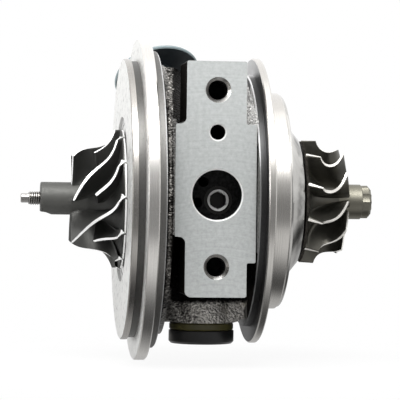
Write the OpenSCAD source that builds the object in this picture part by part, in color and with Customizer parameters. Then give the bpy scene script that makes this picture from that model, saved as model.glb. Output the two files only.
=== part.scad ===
// Turbocharger centre cartridge: bearing housing, rotor, bearings and seals.
// X runs along the shaft from compressor to turbine, Z is up and the oil pad faces -Y.
// The origin is on the shaft axis, at the compressor flange's seating face. Millimetres.

/* [Compressor flange] */
// Outer diameter of the compressor flange
flange_d = 116.8; // [112:0.2:124]
// Thickness of the compressor flange
flange_t = 4.1; // [3:0.1:6]
// Diameter of the compressor spigot
spigot_d = 102; // [98:0.2:106]
// How far the spigot stands out of the flange's seating face
spigot_h = 4.8; // [4.4:0.1:7]
// Width of the spigot's land in front of its seal groove
spigot_land_w = 2.2; // [1.5:0.1:3]
// Depth of the spigot's seal groove
spigot_groove_depth = 0.8; // [0.4:0.1:1.5]
// Width of the clamping ledge on the back of the flange
flange_ledge_w = 4.4; // [3.5:0.1:6]
// Thickness of the turned step behind the flange
back_step_t = 2.9; // [2:0.1:4]
// Diameter of the cast rim behind the turned step
cast_rim_d = 98; // [92:0.2:102]
// Thickness of the cast rim behind the turned step
cast_rim_t = 2.5; // [1.5:0.1:3]

/* [Turbine flange] */
// Distance from the compressor seating face to the cast side of the turbine flange
turbine_flange_x = 42.2; // [42:0.1:46]
// Outer diameter of the turbine flange
turbine_flange_d = 104; // [98:0.2:110]
// Thickness of the turbine flange
turbine_flange_t = 2.6; // [2:0.1:4]
// Diameter of the turned ring on the cast side of the turbine flange
turbine_ring_d = 92; // [86:0.2:96]
// Thickness of the turned ring on the cast side of the turbine flange
turbine_ring_t = 2.4; // [1.5:0.1:3]
// Diameter of the turbine spigot
turbine_spigot_d = 79; // [76:0.2:84]
// How far the turbine spigot stands out of its flange
turbine_spigot_h = 7.2; // [6.8:0.1:8]
// Chamfer on the outer edge of the turbine spigot
turbine_spigot_chamfer = 0.5; // [0.3:0.05:0.6]

/* [Cast body] */
// Diameter of the cast core round the bearings
core_d = 54; // [48:0.5:60]
// Length of the curve from the cast rim down to the core
rim_blend_l = 9; // [6:0.5:10]
// Length of the cone from the core up to the turbine flange
neck_l = 8; // [5:0.5:10]
// Width across the shaft of the web that joins the lower port to both flanges
lower_web_w = 18; // [12:0.5:20]

/* [Oil pad] */
// Distance from the shaft axis to the milled face of the pad
pad_y = 40; // [38:0.5:46]
// Place along the shaft of the middle of the pad
pad_x = 25.1; // [25:0.1:26]
// Width of the upper and lower ears of the pad
ear_w = 21; // [18:0.2:22]
// Width of the middle of the pad
pad_w = 28.4; // [26:0.2:28.4]
// Height of the pad's top edge above the shaft axis
pad_top = 48.3; // [45:0.1:52]
// Depth of the pad's bottom edge below the shaft axis
pad_bottom = 33.8; // [31:0.1:37]
// Height at which the upper ear begins
upper_ear_z = 26.4; // [22:0.1:28]
// Depth at which the lower ear begins on the compressor side
lower_ear_z = 12.8; // [10:0.1:16]
// Depth at which the lower ear begins on the turbine side
lower_notch_z = 21.8; // [18:0.1:24]
// Corner radius of the pad
pad_corner_r = 2.2; // [1:0.1:2.6]
// Thickness of the pad's ears
ear_t = 22; // [20:0.5:26]
// Place along the shaft of the line of holes in the pad
hole_x = 25.6; // [25:0.1:26]
// Distance between the two tapped holes
bolt_spacing = 61.5; // [58:0.1:64]
// Height of the upper tapped hole above the shaft axis
bolt_upper_z = 38.3; // [36:0.1:40]
// Tapping diameter of the two holes
bolt_tap_d = 6.8; // [6:0.1:8]
// Depth of the two tapped holes
bolt_depth = 17; // [12:0.5:18]
// Width of the chamfer at the mouth of the tapped holes
bolt_chamfer = 1.1; // [0.5:0.1:1.5]
// Diameter of the oil feed hole
feed_d = 5.3; // [4:0.1:6]
// Height of the oil feed hole above the shaft axis
feed_z = 23.6; // [21:0.1:26]
// Depth of the oil feed hole
feed_depth = 20; // [16:0.5:21]
// Diameter of the oil drain hole
drain_d = 17.4; // [17:0.1:19]
// Height of the oil drain hole above the shaft axis
drain_z = 1.8; // [1:0.05:3]
// Depth of the oil drain hole
drain_depth = 10; // [8:0.5:12]
// Width of the chamfer at the mouth of the oil holes
oil_chamfer = 0.5; // [0.2:0.1:0.8]

/* [Coolant ports] */
// Place along the shaft of the lower coolant port
lower_port_x = 25.2; // [24:0.1:26]
// Diameter of the lower port's cast boss
lower_boss_d = 24.6; // [22:0.2:26]
// Depth of the lower port's face below the shaft axis
lower_port_z = 44.5; // [42:0.1:47]
// Diameter of the lower port's bore
lower_port_d = 16; // [14:0.1:17]
// Depth of the lower port's bore
lower_port_depth = 14; // [12:0.5:16]
// Diameter of the lower transport plug's head
lower_plug_d = 23.8; // [21:0.1:26]
// Height of the lower transport plug's head
lower_plug_h = 4.9; // [4:0.1:7]
// Thickness of the seal above the lower plug's head
lower_seal_t = 2.7; // [2:0.1:4]
// How far the face of the upper port lies below the compressor flange's rim
upper_port_drop = 1.4; // [1:0.1:1.6]
// Angle of the upper port round the shaft, from the rear towards the top
upper_port_angle = 50; // [46:1:56]
// Lean of the upper port towards the compressor
upper_port_lean = 10; // [6:1:12]
// Place along the shaft of the middle of the upper port's face
upper_port_x = 12.4; // [12:0.1:14]
// Diameter of the upper port's cast boss
upper_boss_d = 20; // [18:0.2:22]
// Diameter of the upper port's bore
upper_port_d = 13; // [11:0.1:14]
// Depth of the upper port's bore
upper_port_depth = 13; // [12:0.5:15]
// Diameter of the upper transport cap's brim
upper_brim_d = 33; // [28:0.2:34]
// Thickness of the upper transport cap's brim
upper_brim_t = 1.6; // [1.2:0.1:2]
// Height of the upper transport cap's neck
upper_neck_h = 4; // [3.6:0.1:6]

/* [Bearings] */
// Diameter of the shaft's journals
journal_d = 7.5; // [7:0.1:8]
// Wall of the journal bearing
bearing_wall = 2.2; // [2:0.05:2.5]
// Length of the journal bearing
bearing_l = 29.8; // [28:0.1:31]
// Place along the shaft of the bearing locating screw
screw_x = 27.2; // [26.8:0.1:28]
// Diameter of the bearing locating screw
screw_d = 10; // [8:0.1:10]
// Size across the flats of the locating screw's socket
screw_socket_af = 5.5; // [4:0.1:6]
// Depth of the locating screw's socket
screw_socket_depth = 5; // [3:0.5:6]
// Diameter of the dog point that holds the bearing
dog_d = 4; // [3:0.1:4.6]
// Thickness of the thrust bearing
thrust_t = 2.8; // [2.4:0.1:3.2]
// Diameter of the thrust bearing
thrust_d = 34; // [30:0.5:36]
// Diameter of the thrust collar and thrust washer
collar_d = 16; // [15:0.1:17]
// Thickness of the thrust washer
washer_t = 2.9; // [2.5:0.1:3.2]
// Thickness of the thrust collar's flange
collar_t = 2.4; // [2:0.1:2.5]

/* [Seal plate and shield] */
// Thickness of the seal plate's rim, from its seat to the snap ring
seal_rim_t = 5.8; // [5.4:0.1:6]
// Radial room between the compressor wheel and the seal plate's pocket
seal_plate_margin = 4.8; // [4:0.1:6]
// Diameter of the thrust collar's sealed sleeve
sleeve_d = 13.6; // [13:0.1:14.2]
// Width of a piston ring
piston_ring_w = 1.1; // [0.9:0.05:1.3]
// Sheet thickness of the heat shield
shield_t = 0.9; // [0.6:0.05:1]
// Height of the heat shield's face above the end of the turbine spigot
shield_h = 7.4; // [6.8:0.1:8]
// Diameter of the heat shield's face
shield_face_d = 48; // [46:0.2:52]
// Diameter at the foot of the heat shield's cone
shield_foot_d = 60; // [56:0.2:64]
// Diameter of the heat shield's rim
shield_rim_d = 77.6; // [74:0.2:77.8]

/* [Shaft] */
// Thread diameter at the compressor end
thread_d = 5; // [4.5:0.1:5.4]
// Length of thread that stands out of the compressor wheel
thread_out_l = 4.3; // [3:0.1:6]
// Diameter of the pilot at the shaft's tip
pilot_d = 3.4; // [2.8:0.1:4]
// Length of the pilot at the shaft's tip
pilot_l = 2.8; // [2:0.1:4]
// Diameter of the shaft's seal hub at the turbine end
seal_hub_d = 16; // [15:0.1:16.4]

/* [Compressor wheel] */
// Diameter of the compressor wheel at its outlet
exducer_d = 50.3; // [48:0.1:53]
// Diameter of the compressor wheel at its inlet
inducer_d = 36; // [34:0.1:38]
// Diameter of the wheel's nose
nose_d = 11.8; // [11:0.1:13]
// Length of the plain nose in front of the blades
nose_l = 11.1; // [8:0.1:13]
// Length of the blades along the shaft, up to the outlet corner
blade_l = 15.5; // [14:0.1:17]
// Width of the blades at the outlet
outlet_w = 1.8; // [1.4:0.1:2.4]
// Thickness of the wheel's back disc at its rim
back_disc_t = 1.1; // [0.9:0.1:1.6]
// Number of full blades, with a splitter between each pair
full_blades = 6; // [5:1:7]
// Angle that a full blade turns through from inlet to outlet
blade_wrap = 59.6; // [50:0.2:66]
// Place of a full blade's outlet, above the side of the oil pad
blade_clock = 57.3; // [0:0.1:60]
// Blade thickness at the tip
blade_tip_t = 0.8; // [0.6:0.05:1]
// Blade thickness at the root
blade_root_t = 1.4; // [1.2:0.05:1.6]
// Share of a full blade's length at which the splitters begin
splitter_start = 0.36; // [0.3:0.01:0.45]

/* [Turbine wheel] */
// Diameter of the turbine wheel at its inlet
turbine_d = 45.4; // [43:0.1:47]
// Distance from the heat shield's face to the turbine wheel
turbine_gap = 0.8; // [0.6:0.05:1.2]
// Width of the turbine blades at the inlet
turbine_inlet_w = 5.4; // [4.6:0.1:6]
// Diameter of the turbine blades at the outlet
turbine_outlet_d = 38.6; // [36:0.1:40]
// Length of the turbine blades along the shaft at the tip
turbine_blade_l = 15; // [14:0.1:16]
// Number of turbine blades
turbine_blades = 11; // [9:1:12]
// Angle that a turbine blade turns through at its outlet
turbine_turn = 21; // [14:1:26]
// Place of a turbine blade's inlet, above the side of the oil pad
turbine_clock = 12.2; // [0:0.1:33]
// Turbine blade thickness at the tip
turbine_tip_t = 0.9; // [0.7:0.05:1.1]
// Turbine blade thickness at the root
turbine_root_t = 1.7; // [1.4:0.05:2]
// Diameter of the boss at the turbine wheel's outlet
turbine_boss_d = 12.8; // [12.7:0.1:14]
// Length of the plain boss
turbine_boss_l = 5; // [4:0.1:6]
// Size across the corners of the twelve-point end
bihex_d = 12; // [11:0.1:12.2]
// Length of the twelve-point end
bihex_l = 3.5; // [3:0.1:5]

/* [Hidden] */

$fn = 96;
cut = 0.1;
run_clear = 0.03;
float_clear = 0.05;
fit_clear = 0.02;
play = 0.08;
edge = 0.4;

// Places along the shaft, from the compressor to the turbine
wheel_back_x = 0.2 - spigot_h;
wheel_rim_x = wheel_back_x - back_disc_t;
outlet_corner_x = wheel_rim_x - outlet_w;
inlet_x = outlet_corner_x - blade_l;
nose_x = inlet_x - nose_l;
wheel_hub_h = 1.2;
collar_x = wheel_back_x + wheel_hub_h;
seal_front_x = wheel_back_x + 1;
seal_seat_x = 3.2;
ring_x = seal_seat_x - seal_rim_t;
deflector_t = 0.8;
thrust_x = 9.5;
shoulder_x = thrust_x + play + washer_t;
washer_pocket_x = shoulder_x + 0.1;
bearing_x = washer_pocket_x + 0.6;
turbine_seat_x = turbine_flange_x + turbine_flange_t;
spigot_end_x = turbine_seat_x + turbine_spigot_h;
seal_bore_l = turbine_spigot_h - 0.7;
seal_bore_x = spigot_end_x - seal_bore_l;
hub_x = seal_bore_x + 0.5;
shield_face_x = spigot_end_x + shield_h;
turbine_back_x = shield_face_x + turbine_gap;
weld_x = turbine_back_x - 2.2;
turbine_disc_t = 0.9;

// Radii
bearing_bore_r = journal_d / 2 + run_clear;
bearing_r = bearing_bore_r + bearing_wall;
housing_bore_r = bearing_r + float_clear;
seal_plate_r = exducer_d / 2 + seal_plate_margin;
pocket_r = seal_plate_r + float_clear;
sleeve_bore_r = sleeve_d / 2 + 0.4;
hub_bore_r = seal_hub_d / 2 + 0.3;
relief_r = bearing_r + 3.5;
thrust_pocket_r = thrust_d / 2 + 4;
washer_pocket_r = collar_d / 2 + 1;
screw_hole_r = screw_d / 2 + fit_clear;
upper_port_r = flange_d / 2 - upper_port_drop;
back_step_r = flange_d / 2 - flange_ledge_w;

// Revolves a list of [radius, x] points about the shaft axis
module turned(points) {
    rotate([0, 90, 0]) rotate_extrude() polygon(points);
}

// A bar or hole along the shaft, from x0 to x1
module along_x(r, x0, x1) {
    translate([x0, 0, 0]) rotate([0, 90, 0]) cylinder(r = r, h = x1 - x0);
}

// A bar or hole square to the oil pad, from depth y0 to y1
module along_y(r, x, z, y0, y1) {
    translate([x, y0, z]) rotate([-90, 0, 0]) cylinder(r = r, h = y1 - y0);
}

// A cone square to the oil pad, from radius r0 at y0 to r1 at y1
module cone_y(r0, r1, x, z, y0, y1) {
    translate([x, y0, z]) rotate([-90, 0, 0]) cylinder(r1 = r0, r2 = r1, h = y1 - y0);
}

// A drilling from one point to another
module drilling(a, b, r) {
    v = b - a;
    turn = [0, acos(v.z / norm(v)), atan2(v.y, v.x)];
    translate(a) rotate(turn) cylinder(r = r, h = norm(v), $fn = 32);
}

// A flat ring about the shaft axis
module ring(r_out, r_in, x0, x1) {
    difference() {
        along_x(r_out, x0, x1);
        along_x(r_in, x0 - cut, x1 + cut);
    }
}

// A ring about the shaft axis with a gap cut out of it at an angle
module split_ring(r_out, r_in, x0, x1, gap, angle) {
    difference() {
        ring(r_out, r_in, x0, x1);
        rotate([angle, 0, 0]) translate([x0 - cut, -gap / 2, 0]) cube([x1 - x0 + 2 * cut, gap, r_out + cut]);
    }
}

// Points of an arc about [cx, cy], from angle a0 to a1
function arc(cx, cy, r, a0, a1, steps) =
    [for (i = [0:steps]) let (a = a0 + (a1 - a0) * i / steps) [cx + r * cos(a), cy + r * sin(a)]];

// Rounds each corner [x, y, radius] of an outline with an arc of a few steps
function corner(p, c, n, steps) =
    let (
        u = ([p.x, p.y] - [c.x, c.y]) / norm([p.x, p.y] - [c.x, c.y]),
        w = ([n.x, n.y] - [c.x, c.y]) / norm([n.x, n.y] - [c.x, c.y]),
        half = acos(u * w) / 2,
        mid = (u + w) / norm(u + w),
        centre = [c.x, c.y] + mid * c.z / sin(half),
        from = [c.x, c.y] + u * c.z / tan(half) - centre,
        to = [c.x, c.y] + w * c.z / tan(half) - centre
    )
    c.z == 0 ? [[c.x, c.y]] : [
        for (i = [0:steps])
            let (s = i / steps, v = from * (1 - s) + to * s)
            centre + v * c.z / norm(v)
    ];
function rounded(outline, steps = 5) =
    let (count = len(outline))
    [for (i = [0:count - 1])
        each corner(outline[(i + count - 1) % count], outline[i], outline[(i + 1) % count], steps)];

// A point at share t of a cubic curve
function curve(p, t) =
    p[0] * pow(1 - t, 3) + p[1] * 3 * t * pow(1 - t, 2) + p[2] * 3 * t * t * (1 - t) + p[3] * pow(t, 3);

// Housing

rim_x = flange_t + back_step_t;
blend_x = rim_x + cast_rim_t;
ring_left_x = turbine_flange_x - turbine_ring_t;
neck_x = ring_left_x - neck_l;

// The turned and cast outline of the housing, before its pad and bosses
function housing_outline() =
    let (
        groove_x = spigot_land_w - spigot_h,
        groove_r = spigot_d / 2 - spigot_groove_depth,
        core_r = core_d / 2,
        blend_r = cast_rim_d / 2,
        rise = turbine_ring_d / 2 - core_r
    )
    concat(
        [[0, -spigot_h], [spigot_d / 2 - edge, -spigot_h], [spigot_d / 2, edge - spigot_h]],
        [[spigot_d / 2, groove_x], [groove_r, groove_x], [groove_r, 0]],
        [[flange_d / 2 - edge, 0], [flange_d / 2, edge]],
        [[flange_d / 2, flange_t - edge], [flange_d / 2 - edge, flange_t]],
        [[back_step_r, flange_t], [back_step_r, rim_x - edge], [back_step_r - edge, rim_x]],
        [[blend_r, rim_x], [blend_r, blend_x]],
        [for (i = [1:6]) curve(
            [[blend_r, blend_x], [core_r + 8, blend_x + 0.3], [core_r, blend_x + 3],
                [core_r, blend_x + rim_blend_l]],
            i / 6)],
        [for (i = [0:5]) curve(
            [[core_r, neck_x], [core_r + rise * 0.05, neck_x + neck_l * 0.62],
                [core_r + rise * 0.26, ring_left_x - neck_l * 0.12], [core_r + rise * 0.68, ring_left_x]],
            i / 5)],
        [[turbine_ring_d / 2 - edge, ring_left_x], [turbine_ring_d / 2, ring_left_x + edge]],
        [[turbine_ring_d / 2, turbine_flange_x], [turbine_flange_d / 2 - edge, turbine_flange_x]],
        [[turbine_flange_d / 2, turbine_flange_x + edge], [turbine_flange_d / 2, turbine_seat_x - edge]],
        [[turbine_flange_d / 2 - edge, turbine_seat_x], [turbine_spigot_d / 2, turbine_seat_x]],
        [[turbine_spigot_d / 2, spigot_end_x - turbine_spigot_chamfer]],
        [[turbine_spigot_d / 2 - turbine_spigot_chamfer, spigot_end_x], [0, spigot_end_x]]
    );

// Outline of the milled face, in X and Z
function pad_outline() =
    let (
        ear_l = pad_x - ear_w / 2,
        ear_r = pad_x + ear_w / 2,
        side_l = pad_x - pad_w / 2,
        side_r = pad_x + pad_w / 2,
        r = pad_corner_r
    )
    rounded([
        [ear_l, pad_top, 0.6], [ear_r, pad_top, 0.6], [ear_r, upper_ear_z, 0.6],
        [side_r, upper_ear_z, 0.6], [side_r, -lower_notch_z, 0.6], [ear_r + 0.6, -lower_notch_z, 0.6],
        [ear_r + 0.6, -pad_bottom, 0.8], [ear_l, -pad_bottom, r], [ear_l, -lower_ear_z, r],
        [side_l, -lower_ear_z, 0.6], [side_l, upper_ear_z, 0.6], [ear_l, upper_ear_z, r]
    ]);

// A prism of an outline in X and Z, from depth y0 to y1
module prism_y(outline, y0, y1) {
    translate([0, y1, 0]) rotate([90, 0, 0]) linear_extrude(y1 - y0) polygon(outline);
}

// A prism of an outline in Y and Z, from x0 to x1
module prism_x(outline, x0, x1) {
    translate([x0, 0, 0]) rotate([90, 0, 90]) linear_extrude(x1 - x0) polygon(outline);
}

module pad_block() {
    side_l = pad_x - pad_w / 2;
    side_r = pad_x + pad_w / 2;
    rib_w = ear_w * 0.6;
    web_y = pad_y - 3;
    prism_y(pad_outline(), -pad_y, ear_t - pad_y);
    translate([side_l, -pad_y + 1, -lower_ear_z]) cube([pad_w, pad_y - 1, lower_ear_z + upper_ear_z - 0.6]);
    prism_x([[-pad_y + 6, pad_top - 4], [ear_t - pad_y, pad_top - 4], [-4, core_d / 2], [0, 0],
        [-pad_y + 6, 0]],
        pad_x - rib_w / 2, pad_x + rib_w / 2);
    prism_x([[-pad_y + 6, 1 - pad_bottom], [0, 1 - pad_bottom], [0, 0], [-pad_y + 6, 0]],
        pad_x - rib_w / 2, pad_x + rib_w / 2);
    prism_y([[pad_x, upper_ear_z - 4], [ring_left_x + 1, upper_ear_z - 4],
        [ring_left_x + 1, upper_ear_z], [pad_x + ear_w / 2, pad_top - 6], [pad_x, pad_top - 6]],
        -web_y, ear_t - pad_y);
}

// Places the upper port's own frame: Z out of the port, origin at its face
module at_upper_port() {
    c = [upper_port_x, upper_port_r * cos(upper_port_angle), upper_port_r * sin(upper_port_angle)];
    translate(c) rotate([upper_port_angle - 90, 0, 0]) rotate([0, -upper_port_lean, 0]) children();
}

module bosses() {
    lower_draft = 0.8;
    web_top = core_d / 2 - 4;
    web_bottom = lower_port_z - 0.4;
    prism_y([[rim_x + 1, -web_top], [ring_left_x + 1, -web_top], [ring_left_x + 1, 2 - web_bottom],
        [ring_left_x - 3, -web_bottom], [rim_x + 1, -web_bottom]], -lower_web_w / 2, lower_web_w / 2);
    translate([lower_port_x, 0, -lower_port_z])
        cylinder(d1 = lower_boss_d, d2 = lower_boss_d + 2 * lower_draft, h = lower_port_z - 10);
    at_upper_port() mirror([0, 0, 1])
        cylinder(d1 = upper_boss_d, d2 = upper_boss_d + 3, h = upper_port_r - core_d / 2 + 8);
}

// Holes in the oil pad, and the drillings behind them
module pad_holes() {
    floor_y = drain_depth - pad_y;
    tap_end_y = -relief_r - 3.5;
    for (z = [bolt_upper_z, bolt_upper_z - bolt_spacing]) {
        along_y(bolt_tap_d / 2, hole_x, z, -pad_y - cut, bolt_depth - pad_y);
        cone_y(bolt_tap_d / 2 + bolt_chamfer + cut, bolt_tap_d / 2, hole_x, z, -pad_y - cut,
            bolt_chamfer - pad_y);
    }
    along_y(feed_d / 2, hole_x, feed_z, -pad_y - cut, feed_depth - pad_y);
    cone_y(feed_d / 2 + oil_chamfer + cut, feed_d / 2, hole_x, feed_z, -pad_y - cut, oil_chamfer - pad_y);
    along_y(drain_d / 2, hole_x, drain_z, -pad_y - cut, floor_y);
    cone_y(drain_d / 2 + oil_chamfer + cut, drain_d / 2, hole_x, drain_z, -pad_y - cut, oil_chamfer - pad_y);
    along_y(screw_hole_r, screw_x, 0, floor_y - cut, tap_end_y);
    along_y(dog_d / 2 + 0.15, screw_x, 0, tap_end_y - cut, -housing_bore_r + 1);
    return_d = 3.6;
    for (p = [[-7.4, -1], [-5.3, 6.4]]) along_y(return_d / 2, screw_x + p.x, p.y, floor_y - cut, -4);
    feed_end = [hole_x, feed_depth - pad_y - 1, feed_z];
    for (x = [bearing_x + 3, bearing_x + bearing_l - 3.5]) drilling(feed_end, [x, -2.5, 4], 0.9);
}

// Bores about the shaft axis
module shaft_bores() {
    snap_r = pocket_r + 1.2;
    along_x(pocket_r, -spigot_h - cut, seal_seat_x);
    along_x(snap_r, ring_x - 1.25, ring_x + 0.05);
    along_x(thrust_pocket_r, seal_seat_x - cut, thrust_x);
    along_x(washer_pocket_r, thrust_x - cut, washer_pocket_x);
    along_x(housing_bore_r, washer_pocket_x - cut, seal_bore_x + cut);
    along_x(relief_r, bearing_x + 5.2, bearing_x + bearing_l - 7);
    along_x(hub_bore_r, seal_bore_x, spigot_end_x + cut);
    for (i = [0:2]) rotate([120 * i, 0, 0]) translate([0, 0, thrust_screw_r]) 
        along_x(thrust_screw_d / 2 + fit_clear, thrust_x - cut, thrust_x + thrust_screw_bite + 0.5);
}

module port_bores() {
    translate([lower_port_x, 0, -lower_port_z - cut]) cylinder(d = lower_port_d, h = lower_port_depth + cut);
    at_upper_port() translate([0, 0, -upper_port_depth])
        cylinder(d = upper_port_d, h = upper_port_depth + cut);
}

module bearing_housing() {
    color([0.34, 0.33, 0.32]) difference() {
        union() {
            turned(housing_outline());
            pad_block();
            bosses();
        }
        pad_holes();
        shaft_bores();
        port_bores();
    }
}

// Seal plate and its fixings

o_ring_r = 0.73;
o_ring_depth = 1.5;
o_ring_x = ring_x + seal_rim_t / 2;
module seal_plate() {
    step_r = seal_plate_r - 2.6;
    color([0.62, 0.62, 0.61]) difference() {
        union() {
            along_x(step_r, seal_front_x, seal_seat_x);
            along_x(seal_plate_r, ring_x, seal_seat_x);
        }
        along_x(sleeve_bore_r, seal_front_x - cut, seal_seat_x + cut);
        ring(seal_plate_r + cut, seal_plate_r - o_ring_depth, o_ring_x - o_ring_r - 0.2,
            o_ring_x + o_ring_r + 0.2);
        cone_depth = 1;
        translate([seal_seat_x - cone_depth, 0, 0]) rotate([0, 90, 0])
            cylinder(r1 = sleeve_bore_r, r2 = sleeve_bore_r + 2, h = cone_depth + cut);
    }
}

module seal_plate_o_ring() {
    color([0.08, 0.08, 0.08]) translate([o_ring_x, 0, 0]) rotate([0, 90, 0])
        rotate_extrude() translate([seal_plate_r - o_ring_depth / 2, 0]) circle(r = o_ring_r, $fn = 48);
}

module seal_plate_snap_ring() {
    color([0.42, 0.42, 0.43]) split_ring(pocket_r + 1.1, seal_plate_r - 2.2, ring_x - 1.2, ring_x, 9, 180);
}

// Thrust bearing group

thrust_screw_r = thrust_d / 2 - 3.6;
thrust_screw_d = 3;
thrust_screw_bite = 2 * thrust_t;
module oil_deflector() {
    tongue_w = 10;
    color([0.66, 0.66, 0.64]) difference() {
        union() {
            along_x(thrust_pocket_r - 0.5, seal_seat_x, seal_seat_x + deflector_t);
            prism_y([[seal_seat_x, -thrust_pocket_r + 5], [thrust_x - thrust_t - 1, -thrust_pocket_r + 2],
                [thrust_x - thrust_t - 1, -thrust_pocket_r + 1.2], [seal_seat_x, -thrust_pocket_r + 4]],
                -tongue_w / 2, tongue_w / 2);
        }
        along_x(collar_d / 2 + 0.6, seal_seat_x - cut, seal_seat_x + deflector_t + cut);
    }
}

module thrust_bearing() {
    left = thrust_x - thrust_t;
    groove = 0.6;
    color([0.72, 0.55, 0.27]) difference() {
        along_x(thrust_d / 2, left, thrust_x);
        along_x(spacer_r + 0.3, left - cut, thrust_x + cut);
        for (i = [0:2]) rotate([120 * i, 0, 0]) translate([0, 0, thrust_screw_r])
            along_x(thrust_screw_d / 2 + 0.2, left - cut, thrust_x + cut);
        for (i = [0:5]) rotate([60 * i + 30, 0, 0]) translate([left - cut, -groove, spacer_r])
            cube([groove + cut, 2 * groove, collar_d / 2 - spacer_r + 1]);
    }
}

module thrust_bearing_screws() {
    left = thrust_x - thrust_t;
    head_h = 1.6;
    color([0.3, 0.3, 0.31])
    for (i = [0:2]) rotate([120 * i, 0, 0]) translate([0, 0, thrust_screw_r]) difference() {
        union() {
            along_x(thrust_screw_d / 2, left, thrust_x + thrust_screw_bite);
            along_x(thrust_screw_d / 2 + 1.2, left - head_h, left);
        }
        translate([left - head_h - cut, 0, 0]) rotate([0, 90, 0]) cylinder(d = 2, h = 1, $fn = 6);
    }
}

// Journal bearing and its locating screw

module journal_bearing() {
    waist_x0 = bearing_x + 8;
    waist_x1 = bearing_x + bearing_l - 8;
    end = bearing_x + bearing_l;
    color([0.74, 0.57, 0.28]) difference() {
        along_x(bearing_r, bearing_x, end);
        along_x(bearing_bore_r, bearing_x - cut, end + cut);
        ring(bearing_r + cut, bearing_r - 0.6, waist_x0, waist_x1);
        along_x(bearing_bore_r + 0.5, waist_x0 + 1, waist_x1 - 1);
        along_y(dog_d / 2 + 0.1, screw_x, 0, -bearing_r - cut, -2);
        for (x = [bearing_x + 3, end - 3.5]) for (a = [45:90:315])
            translate([x, 0, 0]) rotate([a, 0, 0]) cylinder(r = 0.7, h = bearing_r + cut);
    }
}

module bearing_locating_screw() {
    face_y = drain_depth - pad_y + 0.3;
    end_y = -relief_r - 3.6;
    tip_y = -bearing_bore_r - 0.8;
    socket_r = screw_socket_af / sqrt(3);
    color([0.2, 0.2, 0.2]) difference() {
        union() {
            along_y(screw_d / 2, screw_x, 0, face_y, end_y);
            along_y(dog_d / 2, screw_x, 0, end_y - cut, tip_y);
        }
        translate([screw_x, face_y - cut, 0]) rotate([-90, 30, 0])
            cylinder(r = socket_r, h = screw_socket_depth, $fn = 6);
        cone_y(socket_r + 0.7, socket_r - 0.3, screw_x, 0, face_y - cut, face_y + 0.9);
    }
}

// Piston rings

ring_groove_w = piston_ring_w + 0.2;
module compressor_piston_rings() {
    color([0.45, 0.45, 0.46]) for (x = piston_ring_xs)
        split_ring(sleeve_bore_r - fit_clear, sleeve_d / 2 - 0.9, x - piston_ring_w / 2,
            x + piston_ring_w / 2, 0.3, 40);
}

module turbine_piston_ring() {
    color([0.45, 0.45, 0.46])
        split_ring(hub_bore_r - fit_clear, seal_hub_d / 2 - 1.1, hub_ring_x - piston_ring_w / 2,
            hub_ring_x + piston_ring_w / 2, 0.3, 40);
}

// Heat shield

module heat_shield() {
    foot_r = shield_foot_d / 2;
    face_r = shield_face_d / 2;
    hole_r = seal_hub_d / 2 + 1;
    bend = 1.2;
    color([0.82, 0.81, 0.78]) turned([
        [shield_rim_d / 2, spigot_end_x], [shield_rim_d / 2, spigot_end_x + shield_t],
        [foot_r + bend, spigot_end_x + shield_t], [foot_r, spigot_end_x + shield_t + bend],
        [face_r, shield_face_x - bend], [face_r - bend, shield_face_x], [hole_r, shield_face_x],
        [hole_r, shield_face_x - shield_t], [face_r - bend - 0.3, shield_face_x - shield_t],
        [face_r - shield_t, shield_face_x - bend - 0.3], [foot_r - shield_t, spigot_end_x + bend],
        [foot_r - shield_t, spigot_end_x]
    ]);
}

// Rotor

spacer_r = thread_d / 2 + 1.7;
piston_ring_xs = [collar_x + 1.65 * piston_ring_w, collar_x + 4 * piston_ring_w];
hub_ring_x = hub_x + 2.4;

module shaft() {
    stub_r = thread_d / 2;
    thread_x = nose_x - thread_out_l;
    groove_l = hub_ring_x - ring_groove_w / 2;
    groove_r = hub_ring_x + ring_groove_w / 2;
    hub_r = seal_hub_d / 2;
    color([0.6, 0.6, 0.6]) turned([
        [0, thread_x - pilot_l], [pilot_d / 2 - 0.3, thread_x - pilot_l],
        [pilot_d / 2, thread_x - pilot_l + 0.3],
        [pilot_d / 2, thread_x], [stub_r - 0.4, thread_x], [stub_r, thread_x + 0.4], [stub_r, shoulder_x],
        [journal_d / 2, shoulder_x], [journal_d / 2, hub_x - 1], [journal_d / 2 + 1, hub_x], [hub_r, hub_x],
        [hub_r, groove_l], [hub_r - 1.5, groove_l], [hub_r - 1.5, groove_r], [hub_r, groove_r],
        [hub_r, weld_x], [0, weld_x]
    ]);
}

module thrust_collar() {
    flange_x1 = thrust_x - thrust_t - play;
    flange_x0 = flange_x1 - collar_t;
    end_x = thrust_x + play;
    color([0.58, 0.58, 0.57]) difference() {
        union() {
            along_x(sleeve_d / 2, collar_x, flange_x0 + cut);
            along_x(collar_d / 2, flange_x0, flange_x1);
            along_x(spacer_r, flange_x1 - cut, end_x);
        }
        along_x(thread_d / 2 + fit_clear, collar_x - cut, end_x + cut);
        for (x = piston_ring_xs)
            ring(sleeve_d / 2 + cut, sleeve_d / 2 - 1.3, x - ring_groove_w / 2, x + ring_groove_w / 2);
    }
}

module thrust_washer() {
    color([0.58, 0.58, 0.57]) ring(collar_d / 2, thread_d / 2 + fit_clear, thrust_x + play, shoulder_x);
}

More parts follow.
